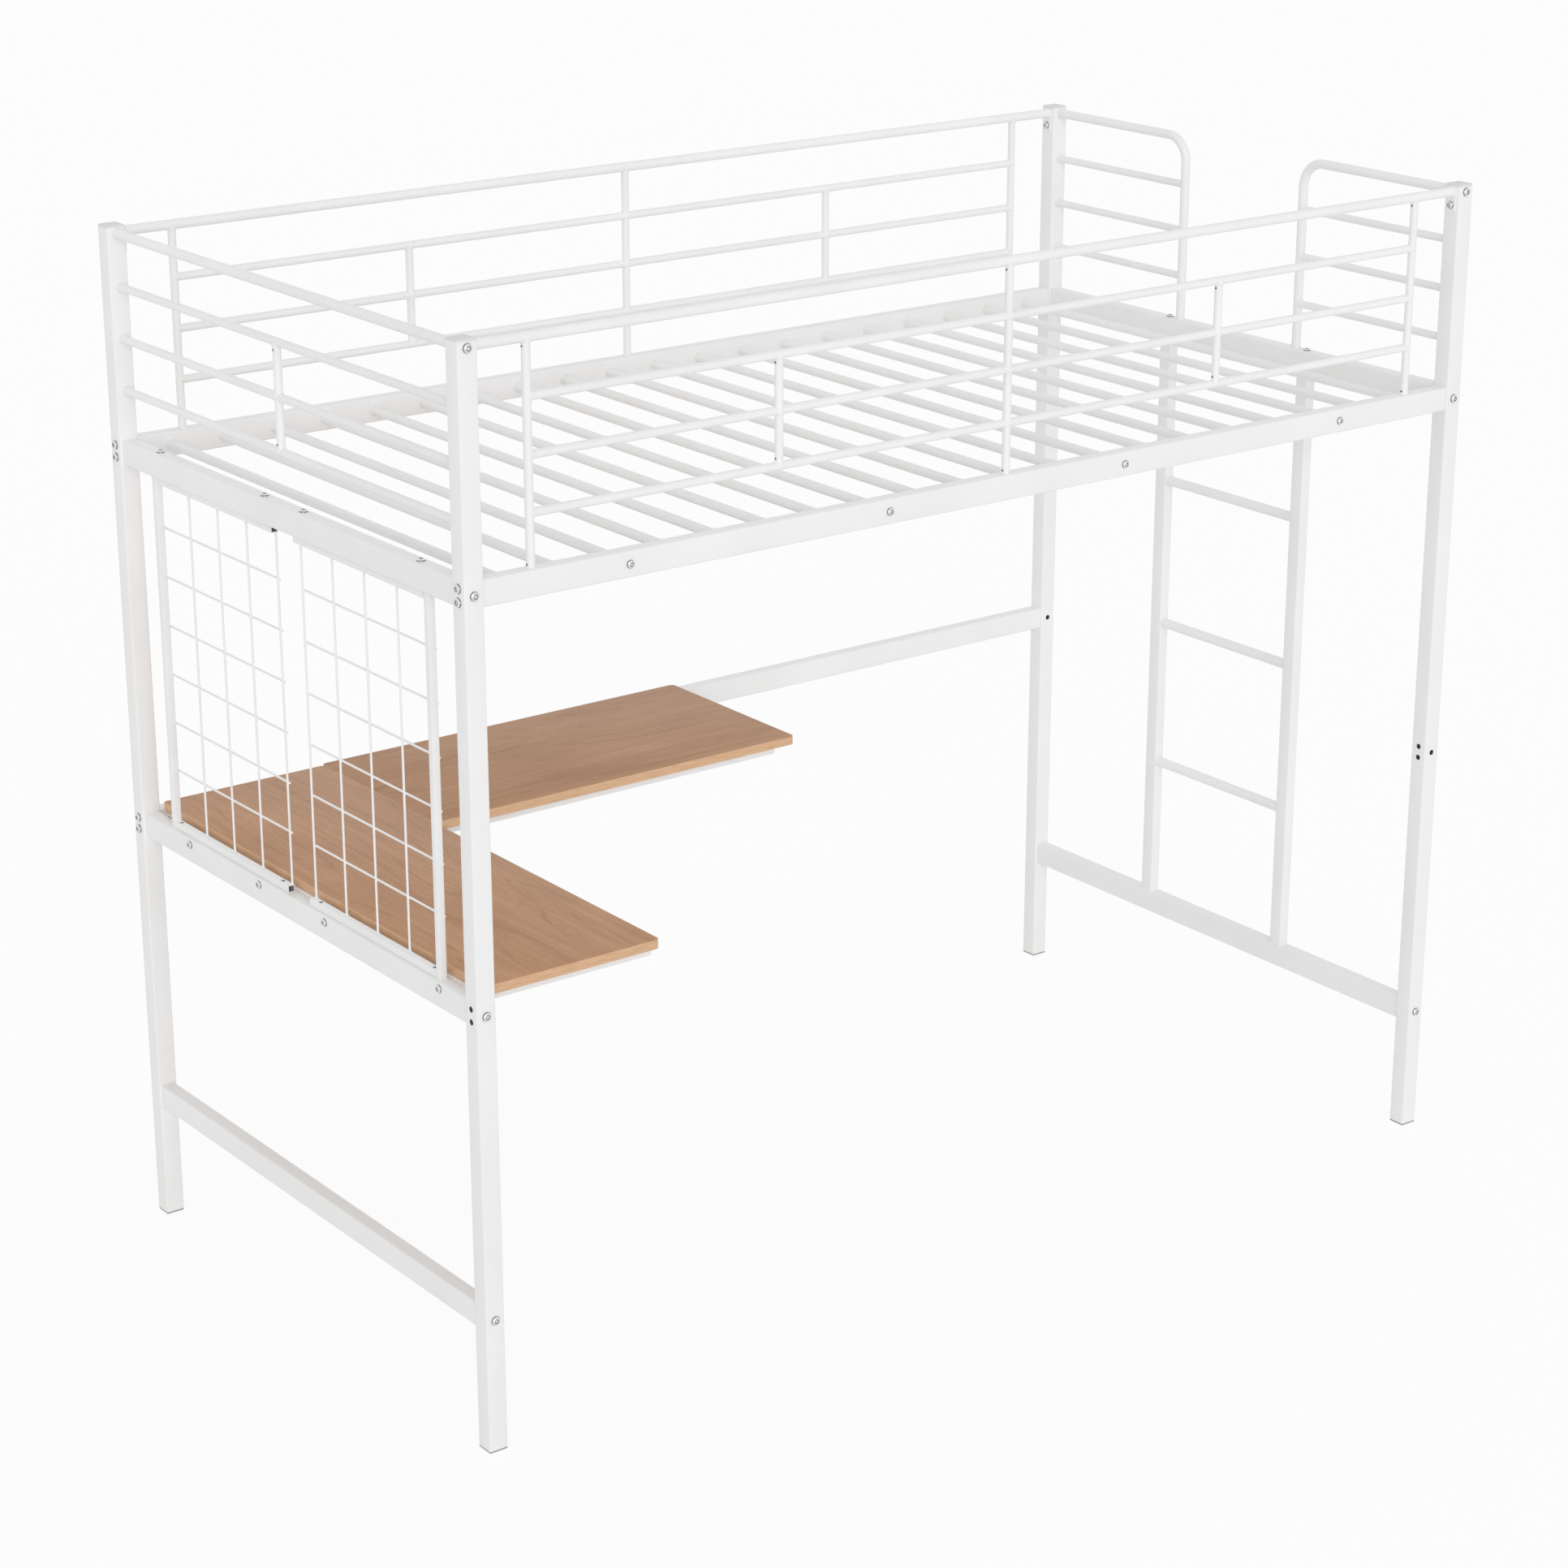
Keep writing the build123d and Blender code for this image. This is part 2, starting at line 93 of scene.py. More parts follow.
left_rail_low, left_rail_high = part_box("left_bed_rail")
front_rail_low, front_rail_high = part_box("side_rail_front")
desk_rail_low, desk_rail_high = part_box("left_desk_rail")
bottom_rail_low, bottom_rail_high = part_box("left_bottom_rail")
top_tube_low, top_tube_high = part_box("left_top_tube")
post_x = -(left_rail_low.x + left_rail_high.x) / 2
post_y = -(front_rail_low.y + front_rail_high.y) / 2
inner_x = front_rail_high.x
inner_y = left_rail_high.y
bed_z = (left_rail_low.z + left_rail_high.z) / 2
desk_z = (desk_rail_low.z + desk_rail_high.z) / 2
bottom_z = (bottom_rail_low.z + bottom_rail_high.z) / 2
bed_top = left_rail_high.z
top_z = (top_tube_low.z + top_tube_high.z) / 2
print("post centres:", round(post_x, 4), round(post_y, 4), "bed rail at", round(bed_z, 4))

# %% [markdown]
# ## Shaders as arithmetic
# A finish is a sum of patterns: a cloud of tone, plus fine streaks, minus the pores. Written node by
# node, that sum disappears in a list of links. The class below wraps one socket, and gives it plus,
# minus and times, which add the Math nodes. Every other node comes from its one method, `node`,
# which takes the node's type, its sockets and its settings. Colours are never added with Math nodes,
# because those turn a colour grey. They go through a Mix node.


# %% A socket that can be used in sums
class Value:
    """A node tree and, mostly, one output socket in it."""

    def __init__(self, tree, socket=None):
        self.tree = tree
        self.socket = socket

    def node(self, kind, sockets, settings=None, output=0):
        """Adds a node. Its settings come first, then its sockets, by name or by number."""
        added = self.tree.nodes.new("ShaderNode" + kind)
        for name, setting in (settings or {}).items():
            if name == "stops":
                ramp = added.color_ramp.elements
                while len(ramp) < len(setting):
                    ramp.new(1)
                for stop, (place, colour) in zip(ramp, setting):
                    stop.position = place
                    stop.color = (*colour, 1)
            else:
                setattr(added, name, setting)
        for name, value in sockets.items():
            if isinstance(value, Value):
                self.tree.links.new(value.socket, added.inputs[name])
            else:
                added.inputs[name].default_value = value
        return Value(self.tree, added.outputs[output])

    def maths(self, operation, first, second):
        return self.node("Math", {0: first, 1: second}, {"operation": operation})

    def __add__(self, other):
        return self.maths("ADD", self, other)

    def __sub__(self, other):
        return self.maths("SUBTRACT", self, other)

    def __rsub__(self, other):
        return self.maths("SUBTRACT", other, self)

    def __mul__(self, other):
        return self.maths("MULTIPLY", self, other)

    __radd__ = __add__
    __rmul__ = __mul__

    def folded(self, width):
        """The value run up and down between 0 and a width, like a rule folded in zigzag."""
        return self.maths("PINGPONG", self, width)

    def spread(self, low, high):
        """The value stretched so that low becomes 0 and high becomes 1, and held there."""
        return self.node("MapRange", {"Value": self, "From Min": low, "From Max": high})

    def mix(self, first, second):
        """The first colour where this value is 0, and the second where it is 1."""
        return self.node("Mix", {0: self, 6: first, 7: second}, {"data_type": "RGBA"}, 2)

    def stretched(self, scale):
        """These coordinates, scaled by a different number on each axis."""
        return self.node("Mapping", {"Vector": self, "Scale": scale})

    def noise(self, scale, detail=2.0, roughness=0.5):
        """Cloudy noise from 0 to 1 on these coordinates."""
        sockets = {"Vector": self, "Scale": scale, "Detail": detail, "Roughness": roughness}
        return self.node("TexNoise", sockets)

    def bump(self, distance, strength):
        """A normal that follows this value as a height, in metres."""
        return self.node("Bump", {"Height": self, "Distance": distance, "Strength": strength})


print("a Value adds", [name for name in dir(Value) if not name.startswith("_")])

# %% [markdown]
# A material starts as one Principled shader and the Object coordinates that its patterns read. Those
# are the piece's own metres, so a grain of 2 mm is 2 mm on every piece, and it stays where it is when
# the piece is exported. `feed` sets a socket to a number or links a Value to it.


# %% Starting a material and feeding its shader
def start_material(name):
    """A new material, its shader, and a Value with its Object coordinates."""
    material = bpy.data.materials.new(name)
    material.use_nodes = True
    tree = material.node_tree
    place = Value(tree).node("TexCoord", {}, output="Object")
    return material, tree.nodes["Principled BSDF"], place


def feed(shader, **inputs):
    """Sets or links the shader's sockets, such as base_color or roughness."""
    tree = shader.id_data
    for name, value in inputs.items():
        socket = shader.inputs[name.replace("_", " ").title()]
        if isinstance(value, Value):
            tree.links.new(value.socket, socket)
        else:
            socket.default_value = value


trial, shader, place = start_material("trial")
feed(shader, roughness=0.4)
print("a material starts with", [node.name for node in trial.node_tree.nodes])
bpy.data.materials.remove(trial)

# %% [markdown]
# ## White powder coat
# The steel is powder coated: a dry paint that melts into one thick skin in an oven. It has a soft
# gloss, a faint orange peel about a millimetre across, and hardly any change of colour. A plain
# white would look like card, so noise bends the light a little and moves the gloss slightly.


# %% White powder coat
COAT_DARK = (0.87, 0.87, 0.865, 1)
COAT_LIGHT = (0.90, 0.90, 0.90, 1)
PEEL_SCALE = 900
PEEL_DEPTH = 0.06 * MM


def powder_coat():
    material, shader, place = start_material("white_powder_coat")
    peel = place.noise(PEEL_SCALE)
    cloud = place.noise(scale=7, detail=3)
    feed(
        shader,
        base_color=cloud.spread(0.35, 0.65).mix(COAT_DARK, COAT_LIGHT),
        roughness=0.33 + 0.14 * cloud,
        normal=peel.bump(PEEL_DEPTH, strength=0.5),
    )
    return material


WHITE = powder_coat()
print("finish:", WHITE.name, "with", len(WHITE.node_tree.nodes), "nodes")

# %% [markdown]
# ## Oak foil
# The boards are particle board under a printed oak foil. A wood print has five layers, and each is
# noise on coordinates that are squeezed along the grain, so that a round blotch becomes a streak:
# broad soft patches, medium streaks, a fine fibre, short flecks, and growth rings. The rings use a
# trick. Smooth noise is multiplied and folded into a zigzag, and each fold is a thin line that runs
# like a contour on a map. Short dashes then break the dark lines up into rows of pores. The grain
# runs the long way on each board, so there are two materials, one for each direction, and the back
# board's is printed a little darker, as painted shade for its place further under the bed.


# %% Oak foil with its grain along one axis
OAK_DARK = (0.432, 0.226, 0.118)
OAK_MIDDLE = (0.522, 0.286, 0.158)
OAK_LIGHT = (0.612, 0.352, 0.204)
OAK_PALE_LINE = (0.71, 0.45, 0.28)
OAK_PORE = (0.32, 0.155, 0.08)
FOIL_SPECULAR = 0.3
FIBRE_DEPTH = 0.12 * MM

# Each layer is squeezed along the grain by its first number. Then come its noise's scale, detail
# and roughness.
PATCHES = (0.5, 9, 3, 0.5)
STREAKS = (0.03, 70, 4, 0.6)
FIBRE = (0.05, 330, 3, 0.6)
FLECKS = (0.22, 480, 2, 0.6)
RINGS = (0.11, 7, 2, 0.45)
DASHES = (0.035, 190, 2, 0.5)
RING_FOLDS = 11


def oak_foil(name, along, depth):
    """A foil with its grain along axis 0 or 1. Its depth, up to 1, darkens the print as painted
    shade.
    """
    material, shader, place = start_material(name)
    shader.inputs["Specular IOR Level"].default_value = FOIL_SPECULAR

    def shaded_print(colour):
        """A colour of the print, darkened by the depth as painted shade."""
        return tuple(depth * part for part in colour)

    def layer(squeeze, *noise):
        """Noise on coordinates squeezed along the grain."""
        scale = Vector((1, 1, 1))
        scale[along] = squeeze
        return place.stretched(tuple(scale)).noise(*noise)

    patches, streaks, fibre, flecks = layer(*PATCHES), layer(*STREAKS), layer(*FIBRE), layer(*FLECKS)
    fold = (RING_FOLDS * layer(*RINGS)).folded(0.5)
    dashes = layer(*DASHES).spread(0.38, 0.55)
    tone = (0.36 * patches + 0.22 * streaks + 0.2 * fibre + 0.22 * flecks).spread(0.37, 0.63)
    stops = [(0.0, shaded_print(OAK_DARK)), (0.5, shaded_print(OAK_MIDDLE)), (1.0, shaded_print(OAK_LIGHT))]
    wood = tone.node("ValToRGB", {"Fac": tone}, {"stops": stops})
    early = (0.2 * fold.spread(0.4, 0.5) * patches).mix(wood, (*shaded_print(OAK_PALE_LINE), 1))
    pores = 0.42 * (1 - fold.spread(0, 0.085)) * dashes
    feed(
        shader,
        base_color=pores.mix(early, (*shaded_print(OAK_PORE), 1)),
        roughness=0.46 + 0.12 * patches,
        normal=(0.6 * fibre + 0.4 * streaks).bump(FIBRE_DEPTH, strength=0.35),
    )
    return material


# The back board's foil is darker as painted shade: it lies further under the bed.
OAK_ALONG_X = oak_foil("oak_foil_along_x", along=0, depth=0.88)
OAK_ALONG_Y = oak_foil("oak_foil_along_y", along=1, depth=1.0)
for foil in (OAK_ALONG_X, OAK_ALONG_Y):
    print("finish:", foil.name, "with", len(foil.node_tree.nodes), "nodes")

# %% [markdown]
# ## Edge band
# The cut sides of a board show chips, so a thin plastic band is glued over them. It is paler and
# yellower than the foil and its print is plainer: short streaks that run along the edge. One noise,
# squeezed in both level directions, does for all four sides.


# %% Edge band
BAND_DARK = (0.61, 0.358, 0.198, 1)
BAND_LIGHT = (0.75, 0.475, 0.282, 1)
FINE_DEPTH = 0.08 * MM


def edge_band():
    material, shader, place = start_material("oak_edge_band")
    grain = place.stretched((0.1, 0.1, 1)).noise(scale=300, detail=4, roughness=0.6)
    feed(
        shader,
        base_color=grain.spread(0.3, 0.7).mix(BAND_DARK, BAND_LIGHT),
        roughness=0.36 + 0.12 * grain,
        normal=grain.bump(FINE_DEPTH, strength=0.3),
    )
    return material


EDGE_BAND = edge_band()
print("finish:", EDGE_BAND.name)

# %% [markdown]
# ## Zinc, moulded plastic and the inside of a tube
# Bolts are steel with a bright zinc plating, which clouds in small patches. Their flanks and sockets
# see less light than their domes, so that shade is painted: they get a darker copy of the same
# plating. The plugs in the ends of the posts are moulded plastic with a fine spark texture, white at
# the top and grey at the feet, and the white is a little grey, partly as painted shade on the caps'
# tops. Powder drifts a little way into an open end and leaves a thin grey film there, and the grey is
# darkened further as painted shade deeper in the tube. It does not get through a drilled hole, so the
# inside of a post shows bare, dark steel, darkened further as painted shade for the hollow post.


# %% Zinc, moulded plastic and bare steel
ZINC_DEPTH = 0.05 * MM


def zinc(name, dark, light):
    material, shader, place = start_material(name)
    cloud = place.noise(scale=420, detail=3, roughness=0.6)
    feed(
        shader,
        base_color=cloud.spread(0.3, 0.7).mix(dark, light),
        metallic=1.0,
        roughness=0.2 + 0.16 * cloud,
        normal=cloud.bump(ZINC_DEPTH, strength=0.4),
    )
    return material


def moulded_plastic(name, dark, light):
    material, shader, place = start_material(name)
    grain = place.noise(scale=1400)
    feed(
        shader,
        base_color=grain.spread(0.3, 0.7).mix(dark, light),
        roughness=0.5 + 0.12 * grain,
        normal=grain.bump(FINE_DEPTH, strength=0.5),
    )
    return material


def tube_inside(name, dark, light):
    material, shader, place = start_material(name)
    film = place.noise(scale=350, detail=3)
    feed(shader, base_color=film.spread(0.3, 0.7).mix(dark, light), roughness=0.6 + 0.2 * film)
    return material


ZINC = zinc("bright_zinc", (0.66, 0.67, 0.67, 1), (0.84, 0.85, 0.85, 1))
# A darker copy of the zinc: painted shade for the heads' flanks, lips and sockets.
SHADED_ZINC = zinc("painted_shade_zinc", (0.21, 0.22, 0.22, 1), (0.33, 0.34, 0.34, 1))
# The caps' white is a little grey, partly their own colour and partly painted shade on their tops.
CAP_PLASTIC = moulded_plastic("white_plastic_and_painted_shade", (0.72, 0.72, 0.72, 1), (0.78, 0.78, 0.78, 1))
FOOT_PLASTIC = moulded_plastic("grey_moulded_plastic", (0.30, 0.30, 0.30, 1), (0.38, 0.38, 0.38, 1))
# Bare steel, darkened further: painted shade for the hollow posts behind their holes, and for the
# vent holes.
TUBE_INSIDE = tube_inside("bare_steel_and_painted_shade", (0.11, 0.11, 0.112, 1), (0.17, 0.168, 0.165, 1))
# A thin grey film, darkened further as painted shade deeper in the open ends of the tubes.
OPEN_END = tube_inside("thin_coat_and_painted_shade", (0.36, 0.37, 0.385, 1), (0.50, 0.51, 0.525, 1))
made = (ZINC, SHADED_ZINC, CAP_PLASTIC, FOOT_PLASTIC, TUBE_INSIDE, OPEN_END)
print("finishes:", [finish.name for finish in made])

# %% [markdown]
# ## A round bar
# A round bar could be a cylinder that is scaled into place, but a real one flares out where it is
# welded. So `turned` draws a circle and pulls it through a list of stations, each a distance and a
# radius, in the way that a lathe tool moves. Every pull is an extrusion of the last face together
# with its edges. Given the edges, Blender drops the old face wherever it would stay inside the body,
# and keeps the very first one, which closes the near end. The last lines test this: on a closed skin
# every edge has exactly two faces.


# %% A round body along a line
ROUND_SIDES = 24


def side_to(direction):
    """The turn that takes +Z to a direction."""
    return Vector(direction).to_track_quat("Z", "Y").to_matrix().to_4x4()


def pulled(bm, face, step):
    """Extrudes one face and moves it, and gives back its new corners and the new face."""
    out = bmesh.ops.extrude_face_region(bm, geom=[face, *face.edges])["geom"]
    ring = [item for item in out if isinstance(item, bmesh.types.BMVert)]
    bmesh.ops.translate(bm, vec=step, verts=ring)
    return ring, next(item for item in out if isinstance(item, bmesh.types.BMFace))


def turned(bm, start, direction, stations, sides=ROUND_SIDES):
    """Adds a closed round body and gives back its last face. A station is a distance and a radius."""
    reached, width = stations[0]
    circle = bmesh.ops.create_circle(bm, cap_ends=True, segments=sides, radius=width)
    everything = list(circle["verts"])
    face = everything[0].link_faces[0]
    bmesh.ops.translate(bm, vec=(0, 0, reached), verts=everything)
    for distance, radius in stations[1:]:
        ring, face = pulled(bm, face, (0, 0, distance - reached))
        bmesh.ops.scale(bm, vec=(radius / width, radius / width, 1), verts=ring)
        reached, width = distance, radius
        everything += ring
    matrix = Matrix.Translation(start) @ side_to(direction)
    bmesh.ops.transform(bm, matrix=matrix, verts=everything)
    return face


def open_edges(bm):
    """How many edges have no face, one face, or more than two."""
    return sum(not edge.is_manifold for edge in bm.edges)


bm = bmesh.new()
turned(bm, (0, 0, 0), (0, 0, 1), [(0, RUNG / 2), (1, RUNG), (2, RUNG / 2)])
print("a round bar has", len(bm.faces), "faces and", open_edges(bm), "open edges")
bm.free()

# %% [markdown]
# A weld leaves a bead of melted steel round the bar's foot. It could be a ring of its own, but a bead
# runs smoothly into the bar, so here it is part of the bar's profile: full height where the two
# tubes touch, a knee a little further on, and then the bar's own radius.


# %% A bar with weld beads
WELD_BEAD = 1.1 * MM
WELD_RUN = 2.6 * MM
WELD_KNEE = 0.4
KNEE_HEIGHT = 0.35


def weld_profile(radius, length, at_start, at_end):
    """Stations of a bar. at_start and at_end say how deep its ends lie in the other tubes."""
    bead = radius + WELD_BEAD
    slope = radius + WELD_BEAD * KNEE_HEIGHT
    stations = [(0, radius)]
    if at_start is not None:
        stations = [(0, bead), (at_start, bead)]
        stations += [(at_start + WELD_RUN * WELD_KNEE, slope), (at_start + WELD_RUN, radius)]
    if at_end is not None:
        face = length - at_end
        stations += [(face - WELD_RUN, radius), (face - WELD_RUN * WELD_KNEE, slope)]
        stations += [(face, bead), (length, bead)]
    else:
        stations.append((length, radius))
    return stations


def welded_bar(bm, start, end, diameter, at_start=None, at_end=None, sides=ROUND_SIDES):
    """Adds a bar between two points, with a bead at each end that is given a depth."""
    line = Vector(end) - Vector(start)
    stations = weld_profile(diameter / 2, line.length, at_start, at_end)
    turned(bm, start, line.normalized(), stations, sides)


stations = weld_profile(THIN_BAR / 2, 1, THIN_BAR / 2, None)
print("a thin bar with one bead, in mm:")
print([(round(distance / MM, 1), round(radius / MM, 1)) for distance, radius in stations])

# %% [markdown]
# ## A square bar
# Square tube is rolled from round, so its corners are soft. `squared` rounds the four corners of a
# flat rectangle first, and then pulls it to its length: the rounding then costs four small bevels
# instead of a bevel along every long edge. Where an end is open, the end face is inset by the wall
# and pushed back into the tube, and those inner faces take the piece's second material.


# %% A square or rectangular body along a line
def squared(bm, start, end, width, depth, corner, across, start_bore=0.0, end_bore=0.0):
    """Adds a tube whose width lies along `across`. Its ends are open to the depth of the bores."""
    line = Vector(end) - Vector(start)
    made = bmesh.ops.create_grid(bm, x_segments=1, y_segments=1, size=0.5)
    bmesh.ops.scale(bm, vec=(width, depth, 1), verts=made["verts"])
    rounded = bmesh.ops.bevel(
        bm, geom=made["verts"], offset=corner, segments=4, profile=0.5, affect="VERTICES", material=-1
    )
    near = rounded["verts"][0].link_faces[0]
    everything = list(near.verts)
    ring, far = pulled(bm, near, (0, 0, line.length))
    everything += ring
    for end, inward in ((near, start_bore), (far, -end_bore)):
        if inward:
            rim = bmesh.ops.inset_region(bm, faces=[end], thickness=TUBE_WALL, use_even_offset=True)
            everything += [vert for face in rim["faces"] + [end] for vert in face.verts]
            ring = pulled(bm, end, (0, 0, inward))[0]
            everything += ring
            for face in {face for vert in ring for face in vert.link_faces}:
                face.material_index = 1
    axis = line.normalized()
    side = Vector(across).normalized()
    turn = Matrix((side, axis.cross(side), axis)).transposed().to_4x4()
    bmesh.ops.transform(bm, matrix=Matrix.Translation(start) @ turn, verts=list(set(everything)))


bm = bmesh.new()
squared(bm, (0, 0, 0), (0, 0, 1), POST, POST, POST_CORNER, (1, 0, 0), RUNG, RUNG)
print("a square tube with bored ends has", len(bm.faces), "faces and", open_edges(bm), "open edges")
bm.free()

# %% [markdown]
# ## From a bmesh to a piece of the bed
# A bmesh is only a workbench. `new_mesh` empties it into a mesh, with every face turned outwards. An
# extrusion can number its faces in another order on each run, and a Boolean then splits flat faces in
# another way. So `new_mesh` also sorts everything by how far it lies along one crooked direction.
# `new_object` puts something in the scene. `finish_piece` uses both. It gives the mesh its finishes,
# shades it smoothly, with hard edges where two faces meet at more than 38 degrees, hangs the piece on
# the empty of the body that it rides on, and hides the plain CAD nodes that it stands for. Nothing
# here moves on the real bed, so every piece rides on the one body, "root".


# %% Finishing a piece
SMOOTH_BELOW = 38
SORTING = Vector((1, 37, 1009))
finished = []
counted = []


def new_mesh(bm, name, materials=()):
    """Turns the faces of a bmesh outwards and moves them to a new mesh with these materials."""
    bmesh.ops.recalc_face_normals(bm, faces=bm.faces[:])
    bm.verts.sort(key=lambda vert: vert.co.dot(SORTING))
    bm.edges.sort(key=lambda edge: (edge.verts[0].co + edge.verts[1].co).dot(SORTING))
    bm.faces.sort(key=lambda face: face.calc_center_median().dot(SORTING))
    mesh = bpy.data.meshes.new(name)
    bm.to_mesh(mesh)
    bm.free()
    for material in materials:
        mesh.materials.append(material)
    return mesh


def new_object(name, data):
    """Puts a mesh, a lamp or a camera in the scene."""
    added = bpy.data.objects.new(name, data)
    bpy.context.scene.collection.objects.link(added)
    return added


def finish_piece(bm, name, materials, nodes=(), smooth_below=SMOOTH_BELOW):
    mesh = new_mesh(bm, name, materials)
    for polygon in mesh.polygons:
        polygon.use_smooth = True
    mesh.set_sharp_from_angle(angle=math.radians(smooth_below))
    piece = new_object(name, mesh)
    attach(piece, "root")
    if nodes:
        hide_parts(*nodes)
    finished.append(piece)
    return piece


def newly_made():
    """How many pieces and faces were finished since this was last asked."""
    fresh = finished[len(counted):]
    counted.extend(fresh)
    return f"{len(fresh)} pieces, {sum(len(piece.data.polygons) for piece in fresh)} faces"


print("before the first piece:", newly_made())

# %% [markdown]
# ## Posts
# Each post is a 32 mm square tube. Its bolt holes are drilled alike on all four, so that any post
# fits any corner, and the holes that no rail uses stay open. bmesh has no operator that drills, so a
# Boolean modifier cuts them, with a small round bar as the drill, and is then applied. The drill's
# faces have material number 1, so the wall of each hole takes the piece's second material: on a post
# that is bare steel, darkened further as painted shade for the hollow inside the post.


# %% Drilling
HOLE = 9.5 * MM
PAIR = 10 * MM


def drill_holes(piece, holes):
    """Cuts round holes out of a piece. Each hole is a start, a direction, a depth and a width."""
    bm = bmesh.new()
    for start, direction, depth, width in holes:
        turned(bm, start, direction, [(0, width / 2), (depth, width / 2)])
    for face in bm.faces:
        face.material_index = 1
    drill = new_object("drill", new_mesh(bm, "drill", piece.data.materials))
    cutting = piece.modifiers.new("holes", "BOOLEAN")
    cutting.object = drill
    cutting.solver = "EXACT"
    bpy.context.view_layer.update()
    drilled = piece.evaluated_get(bpy.context.evaluated_depsgraph_get())
    cut = bpy.data.meshes.new_from_object(drilled)
    piece.modifiers.remove(cutting)
    piece.data = cut
    bpy.data.objects.remove(drill)


print("bolt holes are", round(HOLE / MM, 1), "mm wide, a pair", round(2 * PAIR / MM), "mm apart")

# %% [markdown]
# At desk height not every post has a rail. The front posts have no desk rail at their side, so they
# keep a pair of open holes there, and the right posts have none at the end, so they keep a single
# one. Each drill passes through both walls of the post.


# %% Posts with their unused holes
CORNERS = {
    "front_left": (-1, -1),
    "back_left": (-1, 1),
    "back_right": (1, 1),
    "front_right": (1, -1),
}
DRILL_REACH = 0.7 * POST


def unused_holes(x_side, y_side):
    """The holes of a post that no bolt fills."""
    x, y = x_side * post_x, y_side * post_y
    holes = []
    if y_side < 0:
        for dz in (-PAIR, PAIR):
            holes.append(((x - DRILL_REACH, y, desk_z + dz), (1, 0, 0), 2 * DRILL_REACH, HOLE))
    if x_side > 0:
        holes.append(((x, y - DRILL_REACH, desk_z), (0, 1, 0), 2 * DRILL_REACH, HOLE))
    return holes


for corner, (x_side, y_side) in CORNERS.items():
    low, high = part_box(f"post_{corner}")
    x, y = x_side * post_x, y_side * post_y
    bm = bmesh.new()
    squared(bm, (x, y, low.z), (x, y, high.z), POST, POST, POST_CORNER, (1, 0, 0))
    tube = finish_piece(bm, f"{corner}_post", [WHITE, TUBE_INSIDE], [f"post_{corner}"])
    holes = unused_holes(x_side, y_side)
    # The holes' walls take the dark inside colour: bare steel and painted shade of the hollow post.
    if holes:
        drill_holes(tube, holes)
    print(tube.name, "has", len(holes), "open holes")
print("posts:", newly_made())

# %% [markdown]
# ## End plugs
# A plug closes each end of a post: a white cap at the top, where hands pass, and a grey foot that
# spares the floor. Only the plate shows, a square nearly as wide as the post with a softened rim. It
# is the post's outline pulled by the plate's height, and then bevelled round its far edge.


# %% Plugs at the top and the foot of each post
CAP_SOFTNESS = 2.4 * MM
FOOT_SOFTNESS = 0.8 * MM
PLUG = POST - 0.2 * MM
HAIR = 0.001 * MM


def end_plug(node, plastic, place, plate, softness):
    """A plug whose plate stands away from a place by a signed height."""
    bm = bmesh.new()
    far = place.z + plate
    squared(bm, place, (place.x, place.y, far), PLUG, PLUG, POST_CORNER, (1, 0, 0))
    rim = [edge for edge in bm.edges if all(abs(vert.co.z - far) < HAIR for vert in edge.verts)]
    bmesh.ops.bevel(
        bm, geom=rim, offset=softness, segments=3, profile=0.5, affect="EDGES", material=-1
    )
    finish_piece(bm, f"{node}_plug", [plastic], [node])


for corner, (x_side, y_side) in CORNERS.items():
    low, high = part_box(f"post_{corner}")
    top = Vector((x_side * post_x, y_side * post_y, high.z))
    foot = Vector((x_side * post_x, y_side * post_y, low.z))
    end_plug(f"cap_{corner}", CAP_PLASTIC, top, cad_high.z - high.z, CAP_SOFTNESS)
    end_plug(f"foot_{corner}", FOOT_PLASTIC, foot, -low.z, FOOT_SOFTNESS)
print("plugs:", newly_made())

# %% [markdown]
# ## Rails
# The rails are flat tube, 40 by 25 mm, and run from post to post on edge, because a tall rail bends
# least under a load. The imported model's box of each rail has its length, height and depth already,
# so one function lays them all, along whichever way the box is longest.


# %% Flat rails between the posts
RAILS = (
    "left_bed_rail",
    "left_desk_rail",
    "left_bottom_rail",
    "right_bed_rail",
    "right_bottom_rail",
    "side_rail_front",
    "side_rail_back",
    "back_desk_rail",
)


def flat_rail(node):
    """A rail that fills its node's box, with soft corners along its length."""
    low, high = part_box(node)
    middle = (low + high) / 2
    size = high - low
    bm = bmesh.new()
    if size.x > size.y:
        ends = ((low.x, middle.y, middle.z), (high.x, middle.y, middle.z))
        squared(bm, *ends, size.y, size.z, RAIL_CORNER, (0, 1, 0))
    else:
        ends = ((middle.x, low.y, middle.z), (middle.x, high.y, middle.z))
        squared(bm, *ends, size.x, size.z, RAIL_CORNER, (1, 0, 0))
    finish_piece(bm, f"{node}_tube", [WHITE], [node])


for rail in RAILS:
    flat_rail(rail)
print("rails:", newly_made())

# %% [markdown]
# ## Slats
# Twenty round tubes carry the mattress. Each one is pushed through a hole in the inner wall of both
# side rails and welded round, so it wears a small bead where it meets the rail's face. The bars are
# longer than the gap, and their ends stay hidden inside the rails.

# %% Slats
SLATS = 20
rail_face = front_rail_high.y
for number in range(1, SLATS + 1):
    node = f"slat_{number:02d}"
    low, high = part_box(node)
    middle = (low + high) / 2
    hidden = rail_face - low.y
    bm = bmesh.new()
    welded_bar(bm, (middle.x, low.y, middle.z), (middle.x, high.y, middle.z), SLAT, hidden, hidden)
    finish_piece(bm, f"{node}_tube", [WHITE], [node])
print("slats:", newly_made())

